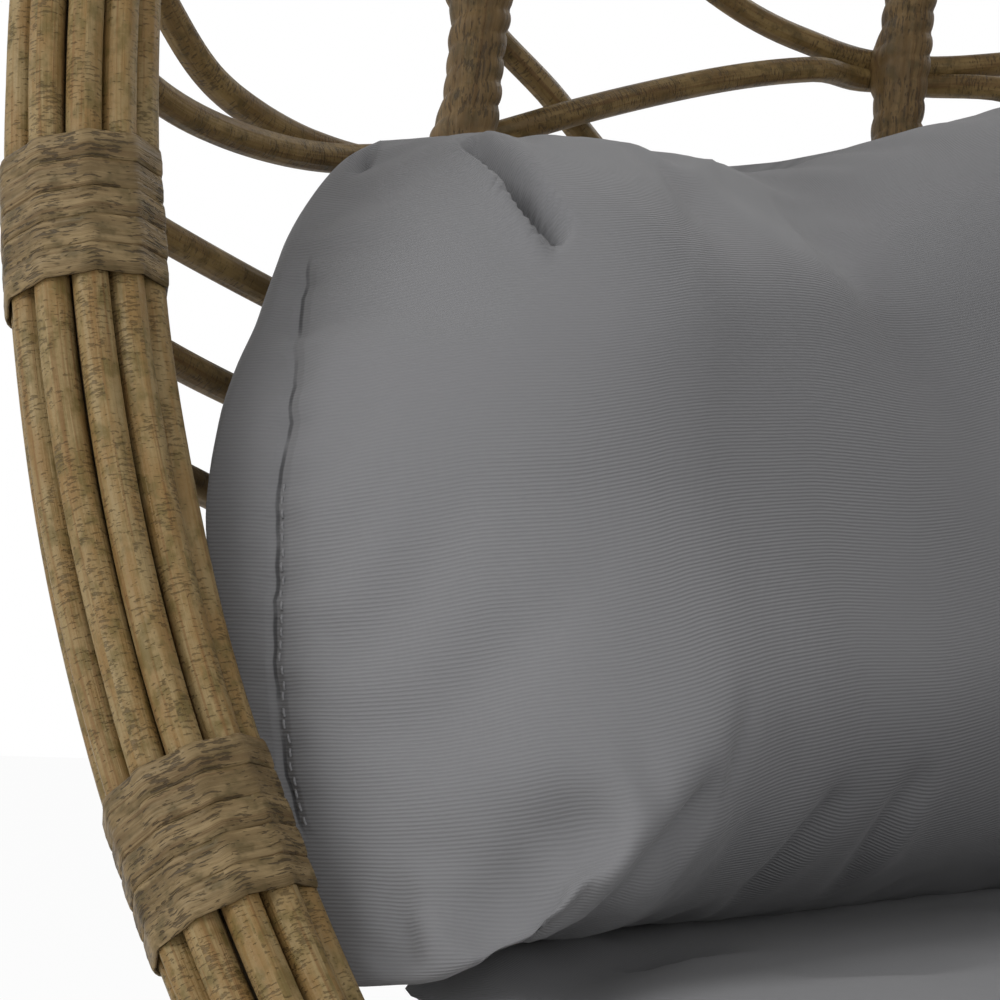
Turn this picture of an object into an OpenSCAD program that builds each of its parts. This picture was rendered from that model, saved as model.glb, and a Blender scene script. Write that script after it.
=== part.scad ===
// Hanging egg chair: a woven basket with cushions, hung from a free-standing steel stand.
// Origin on the floor under the middle of the chair, +Z up, the sitter looks along -Y.

/* [Basket] */
// Half the width of the rim, to the middle of its bundle
rim_half_width = 470; // [440:5:500]
// Height of the rim above its widest place, along the rim
rim_rise = 660; // [620:5:700]
// Depth of the rim below its widest place, along the rim
rim_drop = 514; // [490:2:540]
// How much the radius of the upper side arcs exceeds the rise
upper_ease = 160; // [130:5:200]
// How much the radius of the lower side arcs exceeds the drop
lower_ease = 48; // [40:2:80]
// Backward lean of the rim from upright, in degrees
basket_tilt = 14; // [12:0.5:18]
// Height of the rim's widest place above the floor
basket_height = 850; // [820:10:940]
// Rim tube, outside diameter
rim_tube_d = 22; // [20:0.5:26]
// Wall of the rim tube and the upright tubes
tube_wall = 1.5; // [1:0.25:2.5]
// Diameter of one cane
cane_d = 9; // [8:0.5:9]
// Canes laid round the rim tube
rim_canes_n = 10; // [8:1:10]
// Spacing of the bindings along the rim
binding_pitch = 166; // [120:1:200]
// Distance of the first binding below the rim's widest place
binding_start = 105; // [90:1:140]
// Width of one turn of binding strip
strip_w = 7.4; // [6:0.2:8]
// Thickness of the binding strip
strip_t = 1.3; // [0.8:0.1:1.6]
// Turns of strip in one binding
strip_turns = 5; // [3:1:7]

/* [Uprights and weave] */
// Upright tube, outside diameter
upright_tube_d = 14; // [12:0.5:15]
// Outside diameter of an upright with its wrapping
wrapped_d = 18.6; // [17:0.2:20]
// Radius of the half hoop where the uprights end at the top
crown_r = 84; // [76:2:120]
// Radius of the half hoop where the uprights end at the bottom
foot_hoop_r = 96; // [84:2:120]
// Swing of a woven strand up and down between two uprights
weave_swing = 66; // [40:2:70]
// Height of the lowest woven row's middle over the widest place
weave_base = 8; // [0:2:20]
// Spacing of the woven rows
weave_pitch = 134; // [120:2:160]
// Spacing of the level canes below the woven rows
level_pitch = 35; // [28:1:35]
// Depth of the first level cane below the widest place
level_start = 90; // [84:1:100]
// Depth of the short cane beside the rim, above the level ones
short_cane_depth = 38; // [34:1:46]
// Level canes below the woven rows
level_n = 12; // [8:1:12]
// Diameter of the half hoops at the top and bottom
hoop_d = 14; // [12:0.5:16]

/* [Cushions] */
// Thickness of the back cushion
back_cushion_t = 112; // [80:2:130]
// Height of the back cushion's top edge over the rim's widest place, at the rim
back_cushion_top = -72; // [-120:2:0]
// Rise of that top edge towards the back, in degrees
back_cushion_rake = 5; // [0:0.5:8]
// Height of the parting between the seat and back cushions
seat_parting = -290; // [-330:5:-280]
// Distance of the cushions' front ends behind the rim's plane
cushion_setback = 24; // [23:1:40]

/* [Suspension] */
// Height of the lug's hole above the rim's top, along the rim
lug_rise = 52; // [46:1:70]
// Diameter of the shackle's pin
pin_d = 8.8; // [8:0.2:10]
// Diameter of the rod in rings, links and shackle
rod_d = 8; // [7:0.5:9]
// Outside diameter of the spring
spring_d = 40; // [36:1:46]
// Straight length of the carabiner's sides
carabiner_side = 44; // [40:1:56]
// Length of the spring's coil
spring_length = 128; // [110:2:150]
// Wire of the spring
spring_wire = 5.6; // [5:0.2:6.5]
// Turns of the spring
spring_turns = 16; // [12:1:18]

/* [Stand] */
// Outside diameter of the pole
pole_d = 50; // [44:1:60]
// Wall of the pole
pole_wall = 2; // [1.5:0.25:3]
// Distance of the pole's middle behind the hook, at its belly
pole_reach = 590; // [570:5:640]
// Radius of the pole's belly
belly_r = 2600; // [2200:50:3200]
// Radius of the pole's top bend
bend_r = 390; // [360:5:420]
// Forward lean of the pole where its top bend starts
bend_lean = 14.5; // [12:0.5:18]
// Length of pole in front of the hook
pole_nose = 45; // [40:1:70]
// Height of the joint between the two lengths of pole
pole_joint = 1010; // [850:10:1150]
// Length of the sleeve inside that joint
sleeve_length = 200; // [160:10:240]
// Radius of the base ring, to the middle of its tube
base_r = 520; // [480:5:560]
// Diameter of the base tubes
base_tube_d = 38; // [32:1:45]
// Wall of the base tubes
base_wall = 1.5; // [1.2:0.1:2.5]
// Height of the base tubes above the floor
foot_h = 8; // [6:1:14]
// Feet under the base ring
feet_n = 6; // [4:1:8]

/* [Hidden] */
$fn = 48;
seat_gap = 0.3;
// bent lengths of tube and cane are butted end to end, this far apart
butt_gap = 0.4;
// the binding and the cushions clear the round bundle by this much
bundle_gap = 0.4;
soft_gap = 0.6;

/* ---- egg outline: arcs that meet in line ---- */
function end_r(h, ease) = rim_half_width - pow(h - rim_half_width, 2) / (2 * ease);
function side_r(h, ease) = h + ease;
function meet_angle(h, ease) =
    atan2(h - end_r(h, ease), side_r(h, ease) - rim_half_width);
up_side_r = side_r(rim_rise, upper_ease);
up_end_r = end_r(rim_rise, upper_ease);
up_meet = meet_angle(rim_rise, upper_ease);
low_side_r = side_r(rim_drop, lower_ease);
low_end_r = end_r(rim_drop, lower_ease);
low_meet = meet_angle(rim_drop, lower_ease);

function half_rho(h, sr, er, meet) =
    h < sr * sin(meet) ? rim_half_width - sr + sqrt(sr * sr - h * h)
                       : sqrt(er * er - pow(h - (sr * sin(meet) - er * sin(meet)), 2));
// distance of the outline from the long axis at height p along it
function rho(p) = p >= 0 ? half_rho(p, up_side_r, up_end_r, up_meet)
                         : half_rho(-p, low_side_r, low_end_r, low_meet);
// angle on the end arc where the outline is r from the long axis
function end_angle(r, er) = acos(r / er);

// arc of a 2D section about (cx, cy) in the X-Z plane
module arc(r, a0, a1, cx = 0, cy = 0)
    translate([cx, 0, cy]) rotate([90, 0, 0]) rotate([0, 0, a0])
        rotate_extrude(angle = a1 - a0, $fn = 144) translate([r, 0]) children();

// an arc that stops half a butt gap short at both ends
module butted_arc(r, a0, a1, cx = 0, cy = 0) {
    trim = butt_gap / 2 / r * 180 / PI;
    arc(r, a0 + trim, a1 - trim, cx, cy) children();
}

// the outline's side arcs above and below its widest place, on the +X side
module side_arcs() {
    butted_arc(up_side_r, 0, up_meet, rim_half_width - up_side_r, 0) children();
    butted_arc(low_side_r, -low_meet, 0, rim_half_width - low_side_r, 0) children();
}

module top_arc(stop) butted_arc(up_end_r, up_meet, stop, 0, rim_rise - up_end_r) children();
module bottom_arc(stop) butted_arc(low_end_r, -stop, -low_meet, 0, low_end_r - rim_drop) children();

module whole_outline() {
    for (side = [0, 1]) mirror([side, 0, 0]) side_arcs() children();
    top_arc(180 - up_meet) children();
    bottom_arc(180 - low_meet) children();
}

// a short length of the outline around the distance s from the widest place
module outline_piece(s, width) {
    side_r = s >= 0 ? up_side_r : low_side_r;
    end_r = s >= 0 ? up_end_r : low_end_r;
    meet = s >= 0 ? up_meet : low_meet;
    height = s >= 0 ? rim_rise : rim_drop;
    side_len = side_r * meet * PI / 180;
    on_side = abs(s) < side_len;
    r = on_side ? side_r : end_r;
    mid = on_side ? abs(s) / side_r * 180 / PI : meet + (abs(s) - side_len) / end_r * 180 / PI;
    half = width / 2 / r * 180 / PI;
    mirror([0, 0, s >= 0 ? 0 : 1])
        arc(r, mid - half, mid + half, on_side ? rim_half_width - side_r : 0,
            on_side ? 0 : height - end_r) children();
}

low_half_len = (low_side_r * low_meet + low_end_r * (90 - low_meet)) * PI / 180;
up_half_len = (up_side_r * up_meet + up_end_r * (90 - up_meet)) * PI / 180;

/* ---- sizes that follow from the driving dimensions ---- */
upright_n = 7;
bay_step = 180 / (upright_n + 1);
cane_ring_r = rim_tube_d / 2 + cane_d / 2;
bundle_r = cane_ring_r + cane_d / 2;
binding_r = bundle_r + bundle_gap + strip_t;
binding_w = strip_turns * strip_w;
// one cane of the bundle faces the inside of the basket at this angle from the front
cane_phase = 31;
wrapped_r = wrapped_d / 2;
// woven strands pass each other in two layers, half a cane and a little either side
layer = cane_d / 2 + 0.4;
cushion_depth = layer + cane_d / 2 + soft_gap;
weave_rows = 5;
// each row's rising and falling strands turn at their own angles, as hand weaving does
rising_phase = [4, 2, 5, 1, 3];
falling_phase = [7.5, -3.5, 6, -2, 4];

// hanging point: the lug's hole stands over the basket's centre of mass
lug_p = rim_rise + lug_rise;
lug_n = -12;
lug_t = 8;
lug_r = 18;
saddle_t = 4;
saddle_w = 70;
lug_y_rel = lug_p * sin(basket_tilt) + lug_n * cos(basket_tilt);
lug_z_rel = lug_p * cos(basket_tilt) - lug_n * sin(basket_tilt);
// the hook stands so far ahead of the origin that the whole chair is centred on it
hook_y = (base_r + base_tube_d / 2 - pole_reach - pole_d / 2) / 2;
egg_y = hook_y - lug_y_rel;
lug_z = basket_height + lug_z_rel;

// suspension, from the lug upwards
rod_r = rod_d / 2;
link_rest = rod_d + seat_gap;
shackle_leg = 34;
shackle_r = lug_t / 2 + rod_r + 4;
ring_r = rod_r + 7;
// a ring's rod sinks this far into the piece that it grows from
ring_root = 2.7;
crown_bar_z = lug_z + shackle_leg + shackle_r;
barrel_ring_z = crown_bar_z - link_rest + ring_r;
barrel_bottom = barrel_ring_z + ring_r + rod_r - ring_root;
barrel_d = 30;
barrel_h = 30;
barrel_top = barrel_bottom + barrel_h;
barrel_lid = 8;
spindle_d = 10;
head_t = 5;
head_top = barrel_top - barrel_lid - seat_gap;
flange_t = 6;
flange_d = spring_d + 4;
spigot_d = spring_d - 2 * spring_wire - 0.8;
spigot_h = 12;
lower_flange = barrel_top + 4;
coil_bottom = lower_flange + flange_t + seat_gap;
upper_flange = coil_bottom + spring_length + seat_gap;
plug_ring_z = upper_flange + flange_t + ring_r + rod_r - ring_root;
carabiner_bar_z = plug_ring_z + ring_r - link_rest;
carabiner_r = ring_r + 2;
eye_rod_d = 10;
eye_ring_r = 16;
eye_bar_z = carabiner_bar_z + 2 * carabiner_r + carabiner_side
    - rod_r - eye_rod_d / 2 - seat_gap;
gate_hinge_h = 7;
gate_pin_z = carabiner_bar_z + carabiner_r + gate_hinge_h;
gate_pin_d = 3;
gate_tongue = 3;
gate_d = 7;
gate_stub = 5;
gate_top_gap = 0.6;
collar_t = 4;
eye_ring_z = eye_bar_z + eye_ring_r;
collar_z = eye_ring_z + eye_ring_r + eye_rod_d / 2 - ring_root;
eye_shank_d = 12;
washer_h = 38;

// pole: a wide belly arc, then a tight bend over to the hook
hook_z = collar_z + collar_t + seat_gap + washer_h;
bend_cy = pole_reach - belly_r * (1 - cos(bend_lean)) - bend_r * cos(bend_lean);
hook_angle = acos(-bend_cy / bend_r);
bend_cz = hook_z - bend_r * sin(hook_angle);
belly_cz = bend_cz - (belly_r - bend_r) * sin(bend_lean);
nose_angle = hook_angle + pole_nose / bend_r * 180 / PI;
joint_angle = asin((pole_joint - belly_cz) / belly_r);
plate_t = 8;
plate_top = foot_h + base_tube_d + seat_gap + plate_t;
pole_foot_z = plate_top + seat_gap;
foot_angle = asin((pole_foot_z - belly_cz) / belly_r);
foot_y = hook_y + pole_reach - belly_r * (1 - cos(foot_angle));
bolt_d = 8;
base_z = foot_h + base_tube_d / 2;

module in_basket()
    translate([0, egg_y, basket_height]) rotate([-basket_tilt, 0, 0]) children();

/* ---- basket frame ---- */
module ring_section(d, wall) difference() {
    circle(d = d);
    circle(d = d - 2 * wall);
}

module rim_tube()
    color("dimgray") in_basket() whole_outline() ring_section(rim_tube_d, tube_wall);

module rim_canes()
    color("peru") in_basket() whole_outline()
        for (i = [0:rim_canes_n - 1])
            rotate(90 + cane_phase + i * 360 / rim_canes_n) translate([cane_ring_r, 0])
                circle(d = cane_d, $fn = 24);

// one binding: turns of flat strip side by side
module binding(s) outline_piece(s, binding_w) difference() {
    circle(r = binding_r);
    circle(r = bundle_r + bundle_gap);
}

module rim_bindings() color("saddlebrown") in_basket() {
    for (side = [0, 1]) mirror([side, 0, 0]) {
        for (s = [-binding_start:-binding_pitch:binding_w - low_half_len]) binding(s);
        for (s = [binding_pitch - binding_start:binding_pitch:up_half_len - saddle_w]) binding(s);
    }
    binding(-low_half_len);
}

// half a level hoop at height p, from rim to rim
module half_hoop(p, r, d) {
    end = asin((bundle_r + seat_gap) / (r - d / 2));
    translate([0, 0, p]) rotate([0, 0, end])
        rotate_extrude(angle = 180 - 2 * end, $fn = 96) translate([r, 0]) ring_section(d, tube_wall);
}

crown_p = rim_rise - up_end_r + up_end_r * sin(end_angle(crown_r, up_end_r));
foot_hoop_p = low_end_r - rim_drop - low_end_r * sin(end_angle(foot_hoop_r, low_end_r));
upright_top = end_angle(crown_r, up_end_r) - (hoop_d / 2 + seat_gap) / up_end_r * 180 / PI;
upright_bottom = end_angle(foot_hoop_r, low_end_r)
    - (hoop_d / 2 + seat_gap) / low_end_r * 180 / PI;

module crown_hoop() color("dimgray") in_basket() half_hoop(crown_p, crown_r, hoop_d);
module foot_hoop() color("dimgray") in_basket() half_hoop(foot_hoop_p, foot_hoop_r, hoop_d);

module upright_line(i) in_basket() rotate([0, 0, 180 - i * bay_step]) {
    side_arcs() children();
    top_arc(upright_top) children();
    bottom_arc(upright_bottom) children();
}

module upright(i) color("dimgray") upright_line(i) ring_section(upright_tube_d, tube_wall);

module upright_wrapping() color("saddlebrown")
    for (i = [1:upright_n]) upright_line(i) difference() {
        circle(d = wrapped_d);
        circle(d = upright_tube_d + 0.2);
    }

/* ---- weave ---- */
// angle round the bowl counted from the nearer side of the rim
function fold(psi) = min(psi, 180 - psi);
function row_p(row) = weave_base + row * weave_pitch;
function rising(row, psi) = row_p(row) - weave_swing * cos(4 * (fold(psi) - rising_phase[row]));
function falling(row, psi) = row_p(row) + weave_swing * cos(4 * (fold(psi) - falling_phase[row]));
// height of a strand at an angle: 0 rising, 1 falling, 2 level
function strand_p(kind, row, psi) = kind == 0 ? rising(row, psi)
    : kind == 1 ? falling(row, psi) : -level_start - row * level_pitch;
function wall_point(psi, p, out) =
    [-(rho(p) + out) * cos(psi), (rho(p) + out) * sin(psi), p];
// slope of a strand from an upright, on its side of it, to the middle of the bay
function steepness(kind, row, psi, side) =
    let (middle = strand_p(kind, row, psi + side * bay_step / 2))
        atan(abs(middle - strand_p(kind, row, psi)) / (rho(middle) * bay_step / 2 * PI / 180));
// a slanting cane's square end reaches this share of its radius nearer to a round carrier
slant_share = 0.85;
// angle that a strand stops short of the rim or of an upright, on its side of it: first
// for the bowl's radius where they meet, then for its radius where the strand really ends
function stop_at(kind, row, psi, side, there, carrier_r) =
    asin((carrier_r + seat_gap + slant_share * cane_d / 2 * sin(steepness(kind, row, psi, side)))
         / (rho(strand_p(kind, row, there)) - layer));
function stop_short(kind, row, psi, side, carrier_r) =
    let (first = stop_at(kind, row, psi, side, psi, carrier_r))
        stop_at(kind, row, psi, side, psi + side * first, carrier_r);

function unit(v) = v / norm(v);

// round rod along the arc through three points
module arc_rod(p1, p2, p3, d) {
    a = p2 - p1;
    b = p3 - p1;
    n = cross(a, b);
    c = p1 + cross((a * a) * b - (b * b) * a, n) / (2 * (n * n));
    u = unit(p1 - c);
    w = unit(n);
    v = cross(w, u);
    swept = atan2((p3 - c) * v, (p3 - c) * u);
    multmatrix([[u.x, v.x, w.x, c.x], [u.y, v.y, w.y, c.y], [u.z, v.z, w.z, c.z]])
        rotate_extrude(angle = swept, $fn = 120) translate([norm(p1 - c), 0]) circle(d = d, $fn = 32);
}

module strand(bay, kind, row) {
    left = bay * bay_step;
    right = left + bay_step;
    from = left + stop_short(kind, row, left, 1, bay == 0 ? binding_r : wrapped_r);
    to = right - stop_short(kind, row, right, -1, bay == upright_n ? binding_r : wrapped_r);
    mid = (from + to) / 2;
    out = kind == 0 ? -layer : layer;
    arc_rod(wall_point(from, strand_p(kind, row, from), out),
            wall_point(mid, strand_p(kind, row, mid), out),
            wall_point(to, strand_p(kind, row, to), out), cane_d);
}

// all the canes in one bay between two uprights
module weave_bay(bay) color("peru") in_basket() {
    for (row = [0:weave_rows - 1], kind = [0, 1]) strand(bay, kind, row);
    for (row = [0:level_n - 1]) strand(bay, 2, row);
    // an extra short cane beside the rim, above the level ones
    if (bay == 0 || bay == upright_n) strand(bay, 2, (short_cane_depth - level_start) / level_pitch);
}

/* ---- cushions ---- */
// inside of the egg, a given depth in from the wall's middle
module egg_inside(depth) rotate_extrude($fn = 120) polygon(
    [for (t = [-90:6:90]) let (h = t < 0 ? rim_drop : rim_rise,
        sr = t < 0 ? low_side_r : up_side_r, er = t < 0 ? low_end_r : up_end_r,
        meet = t < 0 ? low_meet : up_meet, a = abs(t), s = t < 0 ? -1 : 1)
        a < meet ? [rim_half_width - sr + (sr - depth) * cos(a), s * (sr - depth) * sin(a)]
                 : [max(0, (er - depth) * cos(a)), s * (h - er + (er - depth) * sin(a))]]);

// all that lies under a level plane, or one that rises towards the back
module under(z, rake = 0) rotate([basket_tilt, 0, 0]) translate([0, 0, z]) rotate([rake, 0, 0]) {
    big = 4 * rim_half_width;
    translate([-big / 2, -big / 2, -big]) cube(big);
}

module behind_rim(setback) {
    big = 4 * rim_half_width;
    translate([-big / 2, setback, -big / 2]) cube(big);
}

module back_cushion() color("gray") in_basket() difference() {
    intersection() {
        egg_inside(cushion_depth);
        under(back_cushion_top, back_cushion_rake);
        behind_rim(cushion_setback);
    }
    egg_inside(cushion_depth + back_cushion_t);
    under(seat_parting + soft_gap / 2);
}

module seat_cushion() color("gray") in_basket() intersection() {
    egg_inside(cushion_depth);
    under(seat_parting - soft_gap / 2);
    behind_rim(cushion_setback);
}

/* ---- hanging lug and shackle ---- */
module hanging_lug() color("black") in_basket() difference() {
    union() {
        arc(up_end_r, 90 - saddle_w / 2 / up_end_r * 180 / PI,
            90 + saddle_w / 2 / up_end_r * 180 / PI, 0, rim_rise - up_end_r) difference() {
            circle(r = bundle_r + seat_gap + saddle_t);
            circle(r = bundle_r + seat_gap);
            translate([-2 * bundle_r, 0]) square(4 * bundle_r, center = true);
        }
        rotate([90, 0, 90]) translate([0, 0, -lug_t / 2]) linear_extrude(lug_t) difference() {
            union() {
                translate([lug_n, lug_p]) circle(r = lug_r);
                polygon([[-bundle_r, rim_rise + bundle_r - 2], [bundle_r, rim_rise + bundle_r - 2],
                         [lug_n + lug_r, lug_p], [lug_n - lug_r, lug_p]]);
            }
            // the plate ends halfway through the saddle's wall
            translate([0, rim_rise]) circle(r = bundle_r + seat_gap + saddle_t / 2);
        }
    }
    translate([0, lug_n, lug_p]) rotate([0, 90, 0])
        cylinder(d = pin_d + 0.2, h = 2 * lug_t, center = true);
}

module at_hook(z) translate([0, hook_y, z]) children();

// a closed ring standing on edge, its hole along X
module ring_across(r, d) rotate([0, 90, 0]) rotate_extrude() translate([r, 0]) circle(d = d);

ear_d = 20;
ear_out = shackle_r + rod_r;
module shackle_bow() color("silver") at_hook(lug_z) difference() {
    union() {
        translate([0, 0, shackle_leg]) arc(shackle_r, 0, 180) circle(d = rod_d);
        for (side = [-1, 1]) {
            translate([side * shackle_r, 0, 0]) cylinder(d = rod_d, h = shackle_leg);
            translate([side * shackle_r, 0, 0]) rotate([0, 90, 0])
                cylinder(d = ear_d, h = rod_d, center = true);
        }
    }
    rotate([0, 90, 0]) cylinder(d = pin_d + 0.2, h = 4 * ear_out, center = true);
}

module shackle_pin() color("silver") at_hook(lug_z) rotate([0, 90, 0]) {
    translate([0, 0, -ear_out - seat_gap]) cylinder(d = pin_d, h = 2 * ear_out + 12);
    translate([0, 0, -ear_out - seat_gap - 6]) cylinder(d = 15, h = 6);
}

module shackle_nut() color("silver") at_hook(lug_z) rotate([0, 90, 0])
    translate([0, 0, ear_out + seat_gap]) difference() {
        cylinder(d = 16, h = 7, $fn = 6);
        translate([0, 0, -1]) cylinder(d = pin_d + 0.1, h = 9);
    }

/* ---- swivel ---- */
module swivel_barrel() color("silver") difference() {
    union() {
        at_hook(barrel_ring_z) ring_across(ring_r, rod_d);
        at_hook(barrel_bottom) cylinder(d = barrel_d, h = barrel_h);
    }
    at_hook(barrel_bottom + 5) cylinder(r = barrel_d / 2 - 4.8, h = barrel_h - barrel_lid - 5);
    at_hook(barrel_top - barrel_lid - 1) cylinder(d = spindle_d + 0.16, h = barrel_lid + 2);
}

module swivel_spindle() color("silver") {
    at_hook(head_top - head_t) cylinder(r = barrel_d / 2 - 5, h = head_t);
    at_hook(head_top) cylinder(d = spindle_d, h = lower_flange + flange_t + spigot_h + 10 - head_top);
}

module spindle_nut() color("silver")
    at_hook(lower_flange + flange_t + spigot_h + seat_gap) difference() {
        cylinder(d = 19, h = 8, $fn = 6);
        translate([0, 0, -1]) cylinder(d = spindle_d + 0.1, h = 10);
    }

/* ---- spring ---- */
module spring_lower_plug() color("dimgray") at_hook(lower_flange) difference() {
    union() {
        cylinder(d = flange_d, h = flange_t);
        cylinder(d = spigot_d, h = flange_t + spigot_h);
    }
    translate([0, 0, -1]) cylinder(d = spindle_d + 0.1, h = flange_t + spigot_h + 2);
}

module spring_upper_plug() color("dimgray") {
    at_hook(upper_flange) cylinder(d = flange_d, h = flange_t);
    at_hook(upper_flange - spigot_h) cylinder(d = spigot_d, h = spigot_h);
    at_hook(plug_ring_z) rotate([0, 0, 90]) ring_across(ring_r, rod_d);
}

coil_steps = 16;
coil_sides = 8;
// corner k of the wire's section, i steps along the coil
function coil_point(i, k) =
    let (turn = 360 * i / coil_steps, around = 360 * k / coil_sides,
         r = spring_d / 2 - spring_wire / 2 + spring_wire / 2 * cos(around),
         rise = (spring_length - spring_wire) / spring_turns / coil_steps * i)
    [r * cos(turn), r * sin(turn), spring_wire / 2 + rise + spring_wire / 2 * sin(around)];

module spring() color("silver") at_hook(coil_bottom) {
    rings = spring_turns * coil_steps;
    polyhedron(
        points = [for (i = [0:rings], k = [0:coil_sides - 1]) coil_point(i, k)],
        faces = concat(
            [[for (k = [0:coil_sides - 1]) k]],
            [for (i = [0:rings - 1], k = [0:coil_sides - 1])
                let (n = (k + 1) % coil_sides, a = i * coil_sides, b = a + coil_sides)
                [a + k, b + k, b + n, a + n]],
            [[for (k = [coil_sides - 1:-1:0]) rings * coil_sides + k]]));
}

/* ---- carabiner ---- */
module carabiner_frame() color("silver") at_hook(carabiner_bar_z + carabiner_r) rotate([0, 0, 90])
    difference() {
        union() {
            translate([0, 0, carabiner_side]) arc(carabiner_r, 0, 180) circle(d = rod_d);
            arc(carabiner_r, 180, 360) circle(d = rod_d);
            translate([-carabiner_r, 0, 0]) cylinder(d = rod_d, h = carabiner_side);
            translate([carabiner_r, 0, carabiner_side - gate_stub]) cylinder(d = rod_d, h = gate_stub);
            translate([carabiner_r, 0, 0]) cylinder(d = rod_d, h = 2);
            // tongue that the gate's fork straddles
            translate([carabiner_r - gate_tongue, -gate_tongue / 2, 0])
                cube([2 * gate_tongue, gate_tongue, gate_hinge_h]);
            translate([carabiner_r, 0, gate_hinge_h]) rotate([90, 0, 0])
                cylinder(d = 2 * gate_tongue, h = gate_tongue, center = true);
        }
        translate([carabiner_r, 0, gate_hinge_h]) rotate([90, 0, 0])
            cylinder(d = gate_pin_d + 0.1, h = 4 * gate_tongue, center = true);
    }

module carabiner_gate() color("silver") at_hook(gate_pin_z) translate([0, carabiner_r, 0])
    difference() {
        fork = gate_tongue + 0.6;
        union() {
            cylinder(d = gate_d, h = carabiner_side - gate_hinge_h - gate_stub - gate_top_gap);
            intersection() {
                translate([0, 0, -gate_d / 2]) cylinder(d = gate_d, h = gate_d);
                rotate([0, 90, 0]) cylinder(d = gate_d, h = 2 * gate_d, center = true);
            }
        }
        translate([-fork / 2, -gate_d, -gate_d]) cube([fork, 2 * gate_d, gate_d + 5]);
        rotate([0, 90, 0]) cylinder(d = gate_pin_d + 0.1, h = 2 * gate_d, center = true);
    }

module carabiner_gate_pin() color("dimgray") at_hook(gate_pin_z) translate([0, carabiner_r, 0])
    rotate([0, 90, 0]) cylinder(d = gate_pin_d, h = gate_d + 0.4, center = true);

/* ---- eye bolt through the pole ---- */
module eye_bolt() color("silver") {
    at_hook(eye_ring_z) rotate([0, 0, 90]) ring_across(eye_ring_r, eye_rod_d);
    at_hook(collar_z) cylinder(d = 26, h = collar_t);
    at_hook(collar_z) cylinder(d = eye_shank_d, h = collar_t + 2 * washer_h + 18);
}

module eye_bolt_nut() color("silver") at_hook(hook_z + washer_h + seat_gap) difference() {
    cylinder(d = 21, h = 10, $fn = 6);
    translate([0, 0, -1]) cylinder(d = eye_shank_d + 0.1, h = 12);
}

// saddle washers between the round pole and the flat nut and collar
module eye_bolt_washers() color("black") difference() {
    at_hook(hook_z - washer_h) cylinder(d = 30, h = 2 * washer_h);
    at_hook(hook_z - washer_h - 1) cylinder(d = eye_shank_d + 0.2, h = 2 * washer_h + 2);
    bend(hook_angle - 12, nose_angle) circle(d = pole_d + 2 * seat_gap);
}

/* ---- pole ---- */
module in_pole() translate([0, hook_y, 0]) rotate([0, 0, 90]) children();
module bend(a0, a1) in_pole() arc(bend_r, a0, a1, bend_cy, bend_cz) children();
module belly(a0, a1) in_pole() arc(belly_r, a0, a1, pole_reach - belly_r, belly_cz) children();

// a place on the belly, its Z axis across the pole
module on_belly(angle) in_pole()
    translate([pole_reach - belly_r, 0, belly_cz]) rotate([0, -angle, 0])
        translate([belly_r, 0, 0]) rotate([90, 0, 0]) children();

bolt_step = sleeve_length / 4 / belly_r * 180 / PI;
sleeve_half = sleeve_length / 2 / belly_r * 180 / PI;
joint_half_gap = seat_gap / 2 / belly_r * 180 / PI;

module cross_hole(angle, d) on_belly(angle) cylinder(d = d, h = 2 * pole_d, center = true);

module pole_upper() color("black") difference() {
    union() {
        belly(joint_angle + joint_half_gap, bend_lean - butt_gap / belly_r * 180 / PI)
            ring_section(pole_d, pole_wall);
        bend(bend_lean, nose_angle) ring_section(pole_d, pole_wall);
    }
    cross_hole(joint_angle + bolt_step, bolt_d + 0.4);
    at_hook(hook_z - pole_d) cylinder(d = eye_shank_d + 0.2, h = 2 * pole_d);
}

socket_bolt_angle = foot_angle + 75 / belly_r * 180 / PI;
module pole_lower() color("black") difference() {
    belly(foot_angle - 1, joint_angle - joint_half_gap) ring_section(pole_d, pole_wall);
    translate([-pole_d, foot_y - 2 * pole_d, pole_foot_z - 4 * pole_d])
        cube([2 * pole_d, 4 * pole_d, 4 * pole_d]);
    cross_hole(joint_angle - bolt_step, bolt_d + 0.4);
    cross_hole(socket_bolt_angle, bolt_d + 0.4);
}

module pole_sleeve() color("silver") difference() {
    belly(joint_angle - sleeve_half, joint_angle + sleeve_half)
        ring_section(pole_d - 2 * pole_wall - 0.2, pole_wall);
    for (side = [-1, 1]) cross_hole(joint_angle + side * bolt_step, bolt_d + 0.4);
}

// bolt across the pole, with its nut
module cross_bolt(angle, reach) on_belly(angle) {
    translate([0, 0, -reach]) cylinder(d = bolt_d, h = 2 * reach + 10);
    translate([0, 0, -reach - 5]) cylinder(d = 14, h = 5);
    translate([0, 0, reach]) difference() {
        cylinder(d = 15, h = 7, $fn = 6);
        translate([0, 0, -1]) cylinder(d = bolt_d + 0.1, h = 9);
    }
}

module pole_bolts() color("silver")
    for (side = [-1, 1]) cross_bolt(joint_angle + side * bolt_step, pole_d / 2 + seat_gap);

module pole_end_plug() color("black") {
    cap = 3 / bend_r * 180 / PI;
    gap = seat_gap / bend_r * 180 / PI;
    bend(nose_angle + gap, nose_angle + gap + cap) circle(d = pole_d);
    bend(nose_angle - 4 * cap, nose_angle + gap + cap / 2)
        circle(d = pole_d - 2 * pole_wall - 2 * seat_gap);
}

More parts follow.
